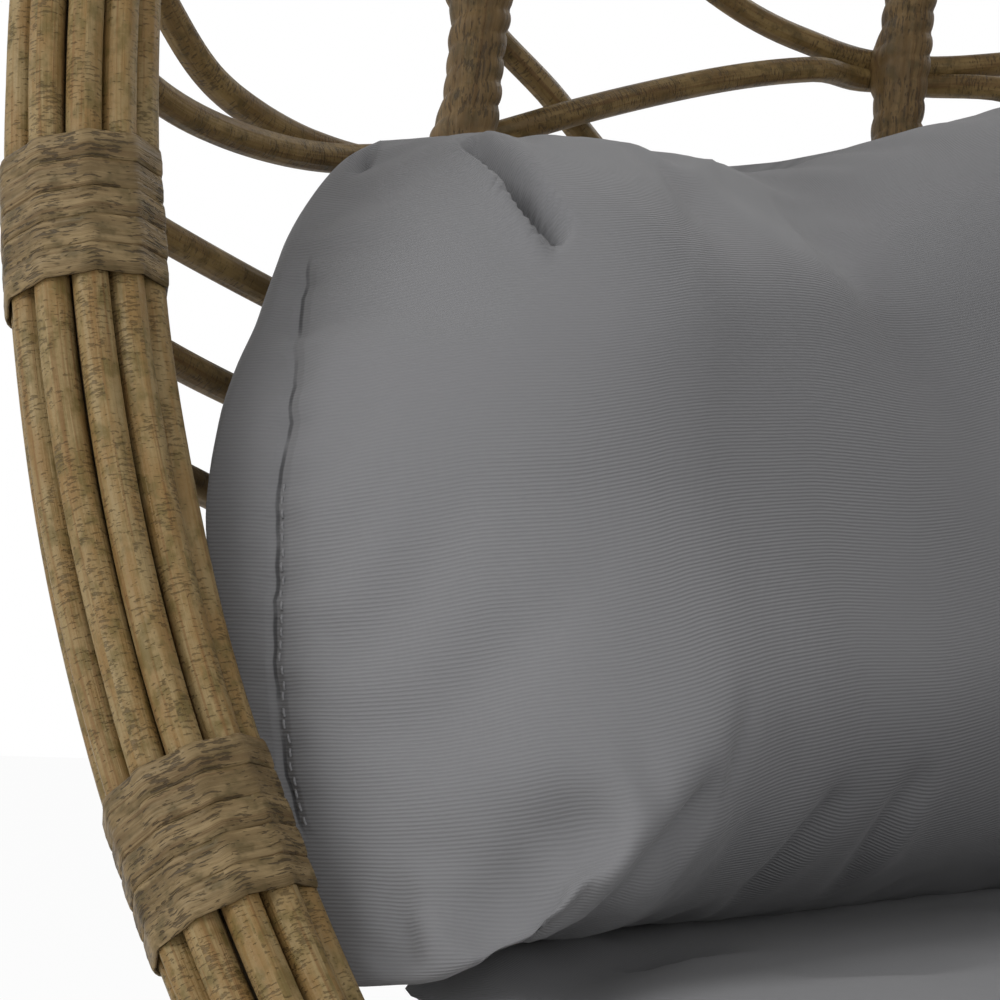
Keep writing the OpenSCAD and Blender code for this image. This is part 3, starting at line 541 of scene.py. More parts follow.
# %% Cloth of the covers
def cloth(name, colour, deep, sewn=False):
    """Ribbed cloth with a faint change of tone, a soft sheen, painted shade in the rib's valleys and, where
    it is sewn, a dark seam line of painted shade.
    """
    mat, tree, shader = new_material(name, Roughness=0.92, Specular_IOR_Level=0.2, Sheen_Weight=0.12,
                                     Sheen_Roughness=0.5)
    surface = node(tree, "ShaderNodeUVMap", uv_map="surface")
    rib = use_group(tree, ribs, Map=surface, Pitch=0.00108)
    tone = node(tree, "ShaderNodeTexNoise", {"Vector": node(tree, "ShaderNodeTexCoord", out=3),
                                             "Scale": 5.0, "Detail": 3.0})
    thread = use_group(tree, streaks, Map=surface, Across=160.0, Along=2600.0)
    body = blend_colour(tree, remap(tree, tone, 0.35, 0.7, 0.0, 0.5), screen(*colour), screen(*deep))
    # painted shade: the rib's valleys take the deeper grey
    body = blend_colour(tree, maths(tree, "MULTIPLY", rib, 0.3), screen(*deep), body)
    body = blend_colour(tree, remap(tree, thread, 0.45, 0.75, 0.0, 0.18), body, screen(*deep))
    height = maths(tree, "MULTIPLY_ADD", thread, 0.35, rib)
    if sewn:
        line, groove = (use_group(tree, sewing, out, Map=node(tree, "ShaderNodeUVMap", uv_map="seam"))
                        for out in (0, 1))
        # painted shade: the seam's dark line is laid into the cloth's colour
        body = blend_colour(tree, maths(tree, "MULTIPLY", line, 0.75), body, screen(48, 48, 50))
        height = maths(tree, "SUBTRACT", height, maths(tree, "MULTIPLY", groove, 5.0))
    put(tree, shader.inputs["Base Color"], body)
    put(tree, shader.inputs["Normal"], bump(tree, height, 0.00022, 0.7))
    return mat


back_cloth = cloth("back_cloth", (146, 146, 147), (118, 118, 120), sewn=True)
seat_cloth = cloth("seat_cloth", (142, 142, 143), (115, 115, 117))
thread_grey = cloth("thread_grey", (150, 150, 152), (128, 128, 130))

# %% [markdown]
# ## Metal, rubber and plastic
# The stand is powder-coated: a dark satin skin with a fine orange peel and a trace of dust on its
# upper faces. The suspension is zinc-plated steel, with a fine spangle in colour and roughness.

# %% Hard finishes
peel, inside, leave = new_group("peel", [("Place", "NodeSocketVector", None),
                                         ("Size", "NodeSocketFloat", 900.0)],
                                [("Height", "NodeSocketFloat"), ("Patch", "NodeSocketFloat")])
put(peel, leave["Height"], node(peel, "ShaderNodeTexNoise", {"Vector": inside["Place"],
                                                             "Scale": inside["Size"], "Detail": 2.0}))
put(peel, leave["Patch"], node(peel, "ShaderNodeTexNoise", {"Vector": inside["Place"], "Scale": 14.0,
                                                            "Detail": 5.0, "Roughness": 0.6}))


def coat(name, colour, wear_and_seam_shade, rough, size=900.0, depth=0.0001, **fixed):
    """A painted, plated or moulded skin: fine relief, and patches of tone and gloss."""
    mat, tree, shader = new_material(name, **fixed)
    place_on = node(tree, "ShaderNodeTexCoord", out=3)
    relief = use_group(tree, peel, 0, Place=place_on, Size=size)
    patch = use_group(tree, peel, 1, Place=place_on, Size=size)
    up = node(tree, "ShaderNodeSeparateXYZ", {0: node(tree, "ShaderNodeNewGeometry", out=1)}, out=2)
    dust = maths(tree, "MULTIPLY", remap(tree, up, 0.3, 1.0), remap(tree, patch, 0.4, 0.75, 0.1, 0.6))
    mottled = blend_colour(tree, remap(tree, patch, 0.35, 0.7), screen(*colour), screen(*wear_and_seam_shade))
    put(tree, shader.inputs["Base Color"], blend_colour(tree, dust, mottled, screen(*wear_and_seam_shade)))
    put(tree, shader.inputs["Roughness"], remap(tree, patch, 0.3, 0.7, rough - 0.07, rough + 0.09))
    put(tree, shader.inputs["Normal"], bump(tree, relief, depth, 0.6))
    return mat


stand_coat = coat("stand_coat", (44, 44, 46), (62, 62, 63), 0.42)
frame_coat = coat("frame_coat", (70, 56, 36), (92, 76, 50), 0.6)
zinc = coat("zinc", (196, 198, 202), (164, 166, 170), 0.34, 500.0, 0.00003, Metallic=1.0)
spring_zinc = coat("spring_zinc", (178, 180, 184), (150, 152, 156), 0.3, 700.0, 0.00002, Metallic=1.0)
plug_plastic = coat("plug_plastic", (38, 38, 39), (52, 52, 52), 0.55, 1400.0, 0.00008)
foot_rubber = coat("foot_rubber", (34, 34, 34), (58, 57, 55), 0.8, 700.0, 0.00012)


# %% Finishes for the solids
def dress(material, *names):
    """Gives nodes of the frame a finish."""
    print("%s: %d nodes" % (material.name, len(names)))
    for name in names:
        for place_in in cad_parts[name].material_slots:
            place_in.material = material


dress(frame_coat, "rim_tube", "crown_hoop", "foot_hoop", *["upright_%d" % i for i in range(1, 8)])
dress(stand_coat, "hanging_lug", "pole_upper", "pole_lower", "pole_socket", "base_ring", "base_spine",
      "base_cross_tubes", "eye_bolt_washers")
dress(zinc, "shackle_bow", "shackle_pin", "shackle_nut", "swivel_barrel", "swivel_spindle", "spindle_nut",
      "spring_lower_plug", "spring_upper_plug", "carabiner_frame", "carabiner_gate", "carabiner_gate_pin",
      "eye_bolt", "eye_bolt_nut", "pole_sleeve", "pole_bolts", "socket_bolt", "base_bolts")
dress(plug_plastic, "pole_end_plug")
dress(foot_rubber, "base_feet")

# %% [markdown]
# ## The spring
# The spring reaches over a joint that slides: its top turn stays on the upper plug, and its bottom turn
# goes down with the lower plug when somebody sits in the chair. Wire that rode on one of the plugs would
# come off the other. So it is swept here along its own helix, between the ends of the spring's solid.

# %% Spring
SPRING_WIRE, SPRING_TURNS, STEPS_PER_TURN, WIRE_SIDES = 0.0056, 16, 36, 14
spring_low, spring_high = (np.array(corner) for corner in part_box("spring"))
spring_middle = (spring_low + spring_high) / 2
turn = np.linspace(0, 2 * math.pi * SPRING_TURNS, SPRING_TURNS * STEPS_PER_TURN + 1)
outwards = np.stack([np.cos(turn), np.sin(turn), 0 * turn], -1)
helix = spring_middle + ((spring_high - spring_low)[0] - SPRING_WIRE) / 2 * outwards
helix[:, 2] = np.linspace(spring_low[2] + SPRING_WIRE / 2, spring_high[2] - SPRING_WIRE / 2, len(turn))
wire = Shell()
wire.tube(helix, outwards, ring_section(SPRING_WIRE / 2, WIRE_SIDES))
spring = wire.build("spring_coils", spring_zinc)
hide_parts("spring")
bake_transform(spring)

# %% [markdown]
# ## Floor
# A plain pale floor catches the soft shadow of the stand. For camera rays it is nearly the white of the
# world, so that no horizon shows, and a small share of real paint keeps the shadow.

# %% Floor
FLOOR_REACH, FLOOR_SEEN_WHITE = 8, 0.93
floor_mat, floor_tree, floor_shader = new_material("floor_pale", Roughness=0.9, Specular_IOR_Level=0.1)
floor_shader.inputs["Base Color"].default_value = screen(236, 236, 235)
floor_out = floor_tree.nodes["Material Output"]
floor_mix = floor_tree.nodes.new("ShaderNodeMixShader")
floor_glow = floor_tree.nodes.new("ShaderNodeEmission")
floor_glow.inputs["Strength"].default_value = 1.0
put(floor_tree, floor_mix.inputs[0], maths(floor_tree, "MULTIPLY", seen_rays(floor_tree), FLOOR_SEEN_WHITE))
put(floor_tree, floor_mix.inputs[1], floor_shader.outputs[0])
put(floor_tree, floor_mix.inputs[2], floor_glow.outputs[0])
put(floor_tree, floor_out.inputs[0], floor_mix.outputs[0])
floor_mesh = bpy.data.meshes.new("floor")
floor_corners = [(x * FLOOR_REACH, y * FLOOR_REACH, 0) for x, y in ((-1, -1), (1, -1), (1, 1), (-1, 1))]
floor_mesh.from_pydata(floor_corners, [], [(0, 1, 2, 3)])
floor_mesh.materials.append(floor_mat)
floor = bpy.data.objects.new("floor", floor_mesh)
scene.collection.objects.link(floor)
floor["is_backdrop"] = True
print("floor: %d m square" % (2 * FLOOR_REACH))

# %% [markdown]
# ## The rim
# Ten canes lie round the steel tube of the rim and run all the way round it. Each is a tube swept
# round the closed outline. A slow seeded wander of a few tenths of a millimetre makes them lie as
# hand-laid canes do, and a few shallow flutes in the section catch the light.

# %% Line and section of a rim cane
CANES_N, CANE_PHASE = 10, math.radians(31)
BACKWARDS = np.array([0.0, math.cos(TILT), -math.sin(TILT)])


def rim_line(count):
    """Points round the closed rim, the outward direction at each, and its share of a full turn in radians."""
    half = UP_LENGTH + LOW_LENGTH
    q = np.arange(count) * 2 * half / count
    right = q < half
    r, p = outline_at(np.where(right, q - LOW_LENGTH, UP_LENGTH - (q - half)))
    path = place(np.where(right, r, -r), 0.0, p)
    ahead = np.roll(path, -1, 0) - np.roll(path, 1, 0)
    out = np.cross(BACKWARDS, ahead)
    return path, out / np.linalg.norm(out, axis=1)[:, None], q / (2 * half) * 2 * math.pi


def loop_noise(turn, seed, waves, fastest):
    """Smooth seeded noise that closes on itself after a full turn."""
    rng = np.random.default_rng(seed)
    speeds = rng.integers(1, fastest, waves)
    return sum(np.sin(k * turn + rng.uniform(0, 6.28)) for k in speeds) / math.sqrt(waves)


def cane_section(radius, sides, seed):
    """A nearly round section with a few shallow flutes."""
    rng = np.random.default_rng(seed)
    turn = np.arange(sides) * 2 * math.pi / sides
    size = 1 + 0.012 * np.cos(3 * turn + rng.uniform(0, 6))
    size = radius * (size + 0.026 * np.cos(7 * turn + rng.uniform(0, 6)))
    return np.stack([size * np.cos(turn), size * np.sin(turn)], -1)


# %% Rim canes
RIM_STEPS, RIM_CANE_SIDES = 440, 22
WANDER_OUT, WANDER_ASIDE = 0.00018, 0.00022
rim_path, rim_out, rim_turn = rim_line(RIM_STEPS)
rim_shell = Shell()
for i in range(CANES_N):
    angle = math.pi / 2 + CANE_PHASE + 2 * math.pi * i / CANES_N
    out = rim_out * math.cos(angle) - BACKWARDS * math.sin(angle)
    beside = np.cross(out, np.cross(BACKWARDS, rim_out))
    path = (rim_path + out * (RING_R + WANDER_OUT * loop_noise(rim_turn, 20 + i, 6, 40))[:, None]
            + beside * (WANDER_ASIDE * loop_noise(rim_turn, 60 + i, 6, 30))[:, None])
    rim_shell.tube(path, out, cane_section(CANE_R, RIM_CANE_SIDES, i), shift=0.37 * i, closed=True)
rim_canes = rim_shell.build("rim_canes_laid", rim_resin)
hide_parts("rim_canes")
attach(rim_canes, "basket")

# %% [markdown]
# ## Bindings
# Flat strip is wound five times round the bundle at even steps along the rim. One binding is modelled:
# a strip swept along a helix that hugs the bundle, so it runs straight from the top of one cane to the
# next. Geometry Nodes then set a copy on each of the rim's binding places, turned to the rim there.

# %% Course of the strip
STRIP_W, STRIP_T, STRIP_TURNS, STRIP_PITCH = 0.0078, 0.0012, 5, 0.0077


def hug(turn_angle):
    """Point and outward direction on the taut line round the bundle, for a normal at turn_angle."""
    step = 2 * math.pi / CANES_N
    first = math.pi / 2 + CANE_PHASE
    nearest = first + np.round((turn_angle - first) / step) * step
    centre = RING_R * np.stack([np.cos(nearest), np.sin(nearest)], -1)
    out = np.stack([np.cos(turn_angle), np.sin(turn_angle)], -1)
    return centre + CANE_R * out, out


# the strip starts and ends at the back of the bundle, with its ends tucked in over a few points
STRIP_LIFT, STRIP_RIPPLE, TUCK_DEPTH, TUCK_POINTS = 0.0002, 0.00012, 0.0026, 6.0
fan = np.radians([-17.8, -9, 0, 9, 17.8])
first_cane = 3 * math.pi / 2 + CANE_PHASE
angles = np.concatenate([first_cane + 2 * math.pi * k / CANES_N + fan
                         for k in range(CANES_N * STRIP_TURNS + 1)])
spot, out2 = hug(angles)
from_tip = np.minimum(np.arange(len(angles)), np.arange(len(angles))[::-1])
tuck = np.clip(from_tip / TUCK_POINTS, 0, 1)
lift = STRIP_LIFT + STRIP_RIPPLE * np.sin(angles * 1.7) - TUCK_DEPTH * (1 - tuck)
high = (angles - angles[0]) / (2 * math.pi) * STRIP_PITCH - STRIP_PITCH * STRIP_TURNS / 2
strip_path = np.column_stack([spot + out2 * lift[:, None], high])
strip_out = np.column_stack([out2, np.zeros(len(angles))])
print("strip: %d points" % len(strip_path))

# %% One binding
wide = np.linspace(-1, 1, 9)
strip_back = STRIP_T * (1 - 0.42 * np.abs(wide) ** 3.2) + 0.00005 * np.cos(9 * wide)
strip_section = np.concatenate([np.stack([strip_back, wide * STRIP_W / 2 * 0.985], -1),
                                [[0.0, STRIP_W / 2 * 0.97], [0.0, -STRIP_W / 2 * 0.97]]])
one = Shell()
one.tube(strip_path, strip_out, strip_section)
one_binding = one.build("one_binding", strip_resin)

# %% Places of the bindings
BINDING_START, BINDING_PITCH, SADDLE_W = 0.1115, 0.166, 0.070
below = np.arange(-BINDING_START, STRIP_TURNS * STRIP_W - LOW_LENGTH, -BINDING_PITCH)
above = np.arange(BINDING_PITCH - BINDING_START, UP_LENGTH - SADDLE_W, BINDING_PITCH)
places = [(side, s) for side in (1, -1) for s in np.concatenate([below, above])] + [(1, -LOW_LENGTH)]
points, turns = [], []
for side, s in places:
    r, p = outline_at([s - 0.001, s, s + 0.001])
    line = place(side * r, 0.0, p)
    ahead = line[2] - line[0]
    out = np.cross(BACKWARDS, ahead) * side
    out /= np.linalg.norm(out)
    basis = Matrix(np.column_stack([out, -BACKWARDS, np.cross(out, -BACKWARDS)]).tolist())
    points.append(line[1])
    turns.append(tuple(basis.to_euler()))
print("bindings: %d places" % len(points))


# %% Copies on places
def scatter_tree(name, material):
    """Geometry Nodes: a copy of one piece on each point, turned by the attribute 'turn'."""
    tree = bpy.data.node_groups.new(name, "GeometryNodeTree")
    tree.interface.new_socket("Places", in_out="INPUT", socket_type="NodeSocketGeometry")
    tree.interface.new_socket("Piece", in_out="INPUT", socket_type="NodeSocketObject")
    tree.interface.new_socket("Scale", in_out="INPUT", socket_type="NodeSocketFloat").default_value = 1.0
    tree.interface.new_socket("Result", in_out="OUTPUT", socket_type="NodeSocketGeometry")
    start, end = tree.nodes.new("NodeGroupInput").outputs, tree.nodes.new("NodeGroupOutput").inputs
    to_points = node(tree, "GeometryNodeMeshToPoints", {"Mesh": start["Places"]})
    piece = node(tree, "GeometryNodeObjectInfo", {"Object": start["Piece"]}, out="Geometry")
    turn = node(tree, "GeometryNodeInputNamedAttribute", {"Name": "turn"}, data_type="FLOAT_VECTOR")
    copies = node(tree, "GeometryNodeInstanceOnPoints", {
        "Points": to_points, "Instance": piece, "Scale": start["Scale"],
        "Rotation": node(tree, "FunctionNodeEulerToRotation", {0: turn})})
    real = node(tree, "GeometryNodeRealizeInstances", {0: copies})
    put(tree, end["Result"], node(tree, "GeometryNodeSetMaterial", {"Geometry": real, "Material": material}))
    return tree


def scatter(name, points, turns, piece, material):
    """Sets a copy of a piece on each point, turned as given, and returns them as one plain mesh object."""
    mesh = bpy.data.meshes.new(name + "_places")
    mesh.from_pydata([tuple(p) for p in points], [], [])
    mesh.attributes.new("turn", "FLOAT_VECTOR", "POINT").data.foreach_set(
        "vector", np.array(turns, np.float32).ravel())
    holder = bpy.data.objects.new(name + "_places", mesh)
    scene.collection.objects.link(holder)
    modifier = holder.modifiers.new("scatter", "NODES")
    modifier.node_group = scatter_tree(name + "_tree", material)
    sockets = {item.name: item.identifier for item in modifier.node_group.interface.items_tree
               if item.in_out == "INPUT"}
    modifier[sockets["Piece"]] = piece
    ready = holder.evaluated_get(bpy.context.evaluated_depsgraph_get())
    result = bpy.data.meshes.new_from_object(ready)
    result.name = name
    for holder_or_piece in (holder, piece):
        bpy.data.objects.remove(holder_or_piece)
    made = bpy.data.objects.new(name, result)
    scene.collection.objects.link(made)
    print("%s: %d copies, %d faces" % (name, len(points), len(result.polygons)))
    return made


# %% Bindings on the rim
rim_wraps = scatter("rim_bindings_wound", points, turns, one_binding, strip_resin)
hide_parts("rim_bindings")
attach(rim_wraps, "basket")

# %% [markdown]
# ## The weave
# Each woven row has a strand that rises and a strand that falls on its way round the bowl, and they
# cross between the uprights, one inside the other. Level canes close the bottom of the bowl. At an
# upright a cane passes behind the steel and the winding holds it there.

# %% Heights of the strands
UPRIGHTS = [math.radians(22.5 * i) for i in range(1, 8)]
WEAVE_ROWS, WEAVE_BASE, WEAVE_PITCH, WEAVE_SWING = 5, 0.008, 0.134, 0.066
RISING_PHASE, FALLING_PHASE = (4, 2, 5, 1, 3), (7.5, -3.5, 6, -2, 4)
LEVEL_START, LEVEL_PITCH, LEVEL_N = 0.090, 0.035, 12
strands = [(kind, row) for row in range(WEAVE_ROWS) for kind in (0, 1)]
strands += [(2, row) for row in range(LEVEL_N)]


def strand_height(kind, row, psi):
    """Height of a strand at angle psi: kind 0 rises, kind 1 falls, kind 2 is level."""
    fold = np.degrees(np.minimum(psi, math.pi - psi))
    if kind == 2:
        return -LEVEL_START - row * LEVEL_PITCH + 0 * fold
    wave = np.cos(np.radians(4 * (fold - (RISING_PHASE, FALLING_PHASE)[kind][row])))
    return WEAVE_BASE + row * WEAVE_PITCH + (kind * 2 - 1) * WEAVE_SWING * wave


def smooth(x, low, high):
    """0 below low, 1 above high, and an even slope in between."""
    t = np.clip((x - low) / (high - low), 0, 1)
    return t * t * (3 - 2 * t)


# %% Strands
# half the distance between crossing canes, how far out an upright pushes a cane, and over what reach
LAYER, BEHIND_UPRIGHT, BEND_FROM, BEND_TO = CANE_R + 0.0004, 0.0088, 0.010, 0.042
INTO_RIM, STRAND_STEPS, WEAVE_CANE_SIDES = 0.013, 300, 14
SWAY_OUT, SWAY_UP = 0.0005, 0.0011


def weave_strand(shell, kind, psi, p, seed):
    """Adds one cane that is led behind each upright."""
    reach = np.min([np.abs(psi - u) for u in UPRIGHTS], axis=0) * rho(p)
    behind = 1 - smooth(reach, BEND_FROM, BEND_TO)
    base = -LAYER if kind == 0 else LAYER
    out = base + (BEHIND_UPRIGHT - base) * behind + SWAY_OUT * gentle_noise(psi * 7, seed)
    path, outer = on_bowl(psi, p, out), on_bowl(psi, p, out + 0.01)
    shell.tube(path, outer - path, cane_section(CANE_R, WEAVE_CANE_SIDES, 200 + seed), shift=0.61 * seed)


weave_shell = Shell()
for seed, (kind, row) in enumerate(strands):
    inset = np.arcsin(INTO_RIM / rho(strand_height(kind, row, np.array([0.04]))[0]))
    psi = np.linspace(inset, math.pi - inset, STRAND_STEPS)
    wander = SWAY_UP * gentle_noise(psi * 5, 300 + seed)
    weave_strand(weave_shell, kind, psi, strand_height(kind, row, psi) + wander, seed)
print("strands: %d" % len(strands))

# %% Short strands beside the cushion
# one more cane bows down from the rim to the first upright on each side: degrees round, and mm up the rim
SHORT_ANGLE = [1.8, 3, 5, 6.4, 7.3, 8.6, 10.1, 13, 15.6, 17.4, 20, 22.5]
SHORT_HEIGHT = [-8, -12.5, -20, -27.5, -32, -35.7, -36.9, -36.7, -34, -31.5, -26, -20]
for side in (0, 1):
    psi = np.radians(np.linspace(1.8, 22.3, 60))
    bent = np.interp(np.degrees(psi), SHORT_ANGLE, SHORT_HEIGHT) / 1000
    bent = np.convolve(np.pad(bent, 4, "edge"), np.ones(9) / 9, "valid")
    weave_strand(weave_shell, 1, psi if side == 0 else math.pi - psi, bent, 90 + side)
weave = weave_shell.build("weave_canes", weave_resin)
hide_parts(*["weave_bay_%d" % i for i in range(1, 9)])
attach(weave, "basket")

# %% [markdown]
# ## Wound uprights
# The uprights are steel tubes under a winding of two strips. The winding is a tube whose radius
# follows the strips: a dome across each, a groove between them, and a swelling over each cane that
# it holds. Rows a millimetre apart are enough to show the grooves.

# %% Wound uprights
WRAP_PITCH, WRAP_STARTS, WRAP_LOW, WRAP_DOME = 0.0172, 2, 0.0084, 0.0011
WRAP_STEP, WRAP_SIDES, STRIP_SWAY = 0.0011, 24, 0.0003
# how much a cane behind the winding lifts it at the back and at the sides, and over what height
LIFT_BACK, LIFT_SIDE, LIFT_REACH = 0.0040, 0.0005, 0.0075
# the winding ends just outside the bottom hoop and the top hoop, where the bowl has these radii
LOW_WRAP_R, HIGH_WRAP_R = 0.1035, 0.0915
low_part, high_part = slice(0, 1200), slice(2400, None)
bottom_s = np.interp(LOW_WRAP_R, table_r[low_part], table_s[low_part])
top_s = np.interp(-HIGH_WRAP_R, -table_r[high_part], table_s[high_part])


def wound_upright(i):
    """One upright's winding, as its own piece."""
    psi = UPRIGHTS[i]
    s = np.arange(bottom_s, top_s, WRAP_STEP)
    r, p = outline_at(s)
    level, up = wall_normal(p)
    path = place(-r * math.cos(psi), r * math.sin(psi), p)
    outer = place(-(r + level) * math.cos(psi), (r + level) * math.sin(psi), p + up)
    turn = np.arange(WRAP_SIDES) * 2 * math.pi / WRAP_SIDES
    wander = 0.05 * gentle_noise(s * 60, 500 + i)
    phase = WRAP_STARTS * (s[:, None] / WRAP_PITCH - turn[None, :] / (2 * math.pi)) + wander[:, None]
    strip = np.floor(phase)
    across = phase - strip
    heights = np.random.default_rng(700 + i).uniform(-STRIP_SWAY, STRIP_SWAY, 400)
    radius = WRAP_LOW + WRAP_DOME * np.sin(math.pi * across) ** 0.55 * (1 + 0.25 * (across - 0.5))
    radius += heights[(strip.astype(int)) % 400] * np.sin(math.pi * across)
    outward = np.clip(np.cos(turn), 0, 1)[None, :] ** 1.2
    sideways = np.abs(np.sin(turn))[None, :] ** 2
    for kind, row in strands:
        at = strand_height(kind, row, np.array([psi]))[0]
        near = np.exp(-((p - at) / LIFT_REACH) ** 2)[:, None]
        radius += near * (LIFT_BACK * outward + LIFT_SIDE * sideways)
    section = np.stack([radius * np.cos(turn), radius * np.sin(turn)], -1)
    shell = Shell()
    shell.tube(path, outer - path, section, shift=0.83 * i)
    made = shell.build("wound_upright_%d" % (i + 1), wrap_resin)
    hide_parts("upright_wrapping")
    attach(made, "basket")


for i in range(len(UPRIGHTS)):
    wound_upright(i)

# %% [markdown]
# ## Cushions
# The back cushion is one long pillow that wraps round inside the bowl, and the seat cushion fills the
# bottom of it. Each is a closed quad mesh of two panels, so its map follows the cloth. Blender's Cloth
# then puffs the panels that face the sitter, with the panels against the bowl held, and each point's
# travel is capped. Tucks, folds and the sewn seams come after that. Tables that end in ANGLE are in
# degrees round the bowl from the rim, and the other ones are in millimetres.

# %% Inside of the bowl
# gap between cushion and canes, depth of the seam inside the wall, and thickness of the pillow's crown
BACK_GAP, SEAM_DEPTH, BACK_PUFF = 0.0115, 0.024, 0.093


def inner_wall(psi, z, depth):
    """Radius and height along the rim at angle psi, height z over the egg's middle, depth inside the wall."""
    r = np.full(np.broadcast(psi, z, depth).shape, 0.42)
    for _ in range(12):
        p = (z + r * np.sin(psi) * math.sin(TILT)) / math.cos(TILT)
        level = wall_normal(p)[0]
        r = 0.5 * r + 0.5 * (rho(p) - depth / level)
    return r, (z + r * np.sin(psi) * math.sin(TILT)) / math.cos(TILT)


def pillow_edge(distance, width):
    """Share of full thickness at a distance from a pillow's edge: a quarter of an ellipse."""
    return np.sqrt(1 - (1 - np.clip(distance / width, 0, 1)) ** 2)


def crown(*shares):
    """Joins the crowns that rise from several edges into one full corner."""
    return np.clip(1 - sum((1 - s) ** 6 for s in shares) ** (1 / 6), 0, 1)


# %% Outline of the back cushion
# its upper edge, its ends (how far behind the rim at each height) and its lower edge
TOP_ANGLE = [0, 9, 11, 13, 16, 19, 23, 28, 31, 34, 37, 40, 43, 47, 55, 70, 90]
TOP_HEIGHT = [-84, -77, -72, -67, -63, -60.5, -57.5, -57.5, -57, -55, -51, -45, -38, -29.5, -25, -29, -33]
END_HEIGHT = [-295, -200, -180, -165, -150, -135, -127, -107, -100, -91, -80, -72, -66, -63]
END_SETBACK = [24, 22, 23.5, 25, 30, 39.5, 47, 60, 64, 72, 83, 92, 103, 110]
LOW_ANGLE = [0, 3.6, 6.2, 9, 12, 17, 22, 30, 90]
LOW_HEIGHT = [-288, -289.5, -282, -283.2, -286, -286, -288, -291.5, -291.5]
# how deep inside the wall each end lies
DEPTH_HEIGHT = [-300, -270, -250, -227, -198, -178, -155, -130, -98, -80]
END_DEPTH = [12, 12, 12, 11, 10, 12, 19, 26, 26, 24]
# the sewn line runs this far from the end of the cloth
SEAM_HEIGHT = [-300, -268, -256, -246, -240, -225, -211, -199, -190,
               -175, -160, -148, -138, -126, -112, -98, -86, -76]
SEAM_REACH = [9, 8, 3.5, 4, 5, 9, 13, 17, 19, 19.2, 18.8, 17.2, 12.8, 8.2, 6.4, 5, 2.8, 0.6]
WIDE, TALL = 1.16, 0.24
END_ROUND, TOP_ROUND, LOW_ROUND = 0.082, 0.068, 0.076


def pillow_steps(length, first, first_n, last, last_n, step):
    """Shares of a length, even in the middle and following the cloth round a pillow's two edges."""
    turn = lambda count: 1 - np.cos(np.linspace(0, math.pi / 2, count + 1))
    middle = np.linspace(first, length - last, int((length - first - last) / step) + 1)[1:-1]
    return np.concatenate([first * turn(first_n), middle, (length - last * turn(last_n))[::-1]]) / length


a = pillow_steps(WIDE, END_ROUND, 34, END_ROUND, 34, 0.0068)[None, :]
b = pillow_steps(TALL, LOW_ROUND, 14, TOP_ROUND, 18, 0.0065)[:, None]
print("back cushion: %d by %d steps" % (a.size - 1, b.size - 1))


# %% Thickness of the back cushion
BOWL_R_AT_END, HIND_ROUND, HIND_LOW_ROUND = 0.425, 0.03, 0.02


def cushion_angles(a, b):
    """Angle round the bowl and height of each place on the back cushion."""
    angle = math.radians(8) + 0 * a * b
    for _ in range(6):
        fold = np.degrees(np.minimum(angle, math.pi - angle))
        low = np.interp(fold, LOW_ANGLE, LOW_HEIGHT) / 1000
        height = low + b * (np.interp(fold, TOP_ANGLE, TOP_HEIGHT) / 1000 - low)
        end = np.arcsin(np.interp(height * 1000, END_HEIGHT, END_SETBACK) / 1000 / BOWL_R_AT_END)
        angle = end + a * (math.pi - 2 * end)
    return angle, height


angle, height = cushion_angles(a, b)
tall = (height[-1] - height[0])[None, :]
from_end = np.minimum(a, 1 - a) * WIDE
share = crown(pillow_edge(from_end, END_ROUND), pillow_edge((1 - b) * tall, TOP_ROUND),
              pillow_edge(b * tall, LOW_ROUND))
seam_depth = SEAM_DEPTH + (1 - smooth(from_end, 0.02, 0.12)) * (
    np.interp(height * 1000, DEPTH_HEIGHT, END_DEPTH) / 1000 - SEAM_DEPTH)
# the stuffing isn't even: two slow waves along the pillow
sag = 1 + 0.05 * np.sin(angle * 5.3 + 0.6) + 0.035 * np.sin(angle * 11.0 + 2.0)
front_depth = seam_depth + BACK_PUFF * share * sag
back_share = crown(pillow_edge(from_end, HIND_ROUND), pillow_edge((1 - b) * tall, HIND_ROUND),
                   pillow_edge(b * tall, HIND_LOW_ROUND))
back_depth = seam_depth - (seam_depth - BACK_GAP) * back_share


# %% Panels of the back cushion
def cloth_map(grid):
    """Metres along and up the cloth at each point of a panel, level with its middle row."""
    along = np.cumsum(np.linalg.norm(np.diff(grid, axis=1, prepend=grid[:, :1]), axis=2), axis=1)
    up = np.cumsum(np.linalg.norm(np.diff(grid, axis=0, prepend=grid[:1]), axis=2), axis=0)
    return along, up - up[len(up) // 2]


cushion, seam_side = Shell(), Shell()
for depth, shift in ((front_depth, 0.0), (back_depth, 2.0)):
    r, p = inner_wall(angle, height, depth)
    grid = place(-r * np.cos(angle), r * np.sin(angle), p)
    if shift:
        grid = grid[:, ::-1]
    map_u, map_v = cloth_map(grid)
    cushion.grid(grid, map_u + shift, map_v + shift)
    from_edge = np.minimum(map_u, map_u[:, -1:] - map_u)
    reach = np.interp(height * 1000, SEAM_HEIGHT, SEAM_REACH) / 1000
    from_seam = np.full(map_u.shape, 1.0) if shift else from_edge - reach
    seam_side.grid(grid, from_seam, height + 0 * from_seam)
back_cushion = cushion.build("back_cushion_cover", back_cloth)
back_cushion.data.uv_layers.new(name="seam", do_init=False).data.foreach_set(
    "uv", np.concatenate(seam_side.maps).astype(np.float32).ravel())
back_cushion.data.uv_layers["surface"].active_render = True


def weld(obj):
    """Joins the panels along their shared edge."""
    work = bmesh.new()
    work.from_mesh(obj.data)
    bmesh.ops.remove_doubles(work, verts=work.verts, dist=1e-5)
    work.to_mesh(obj.data)
    work.free()


weld(back_cushion)

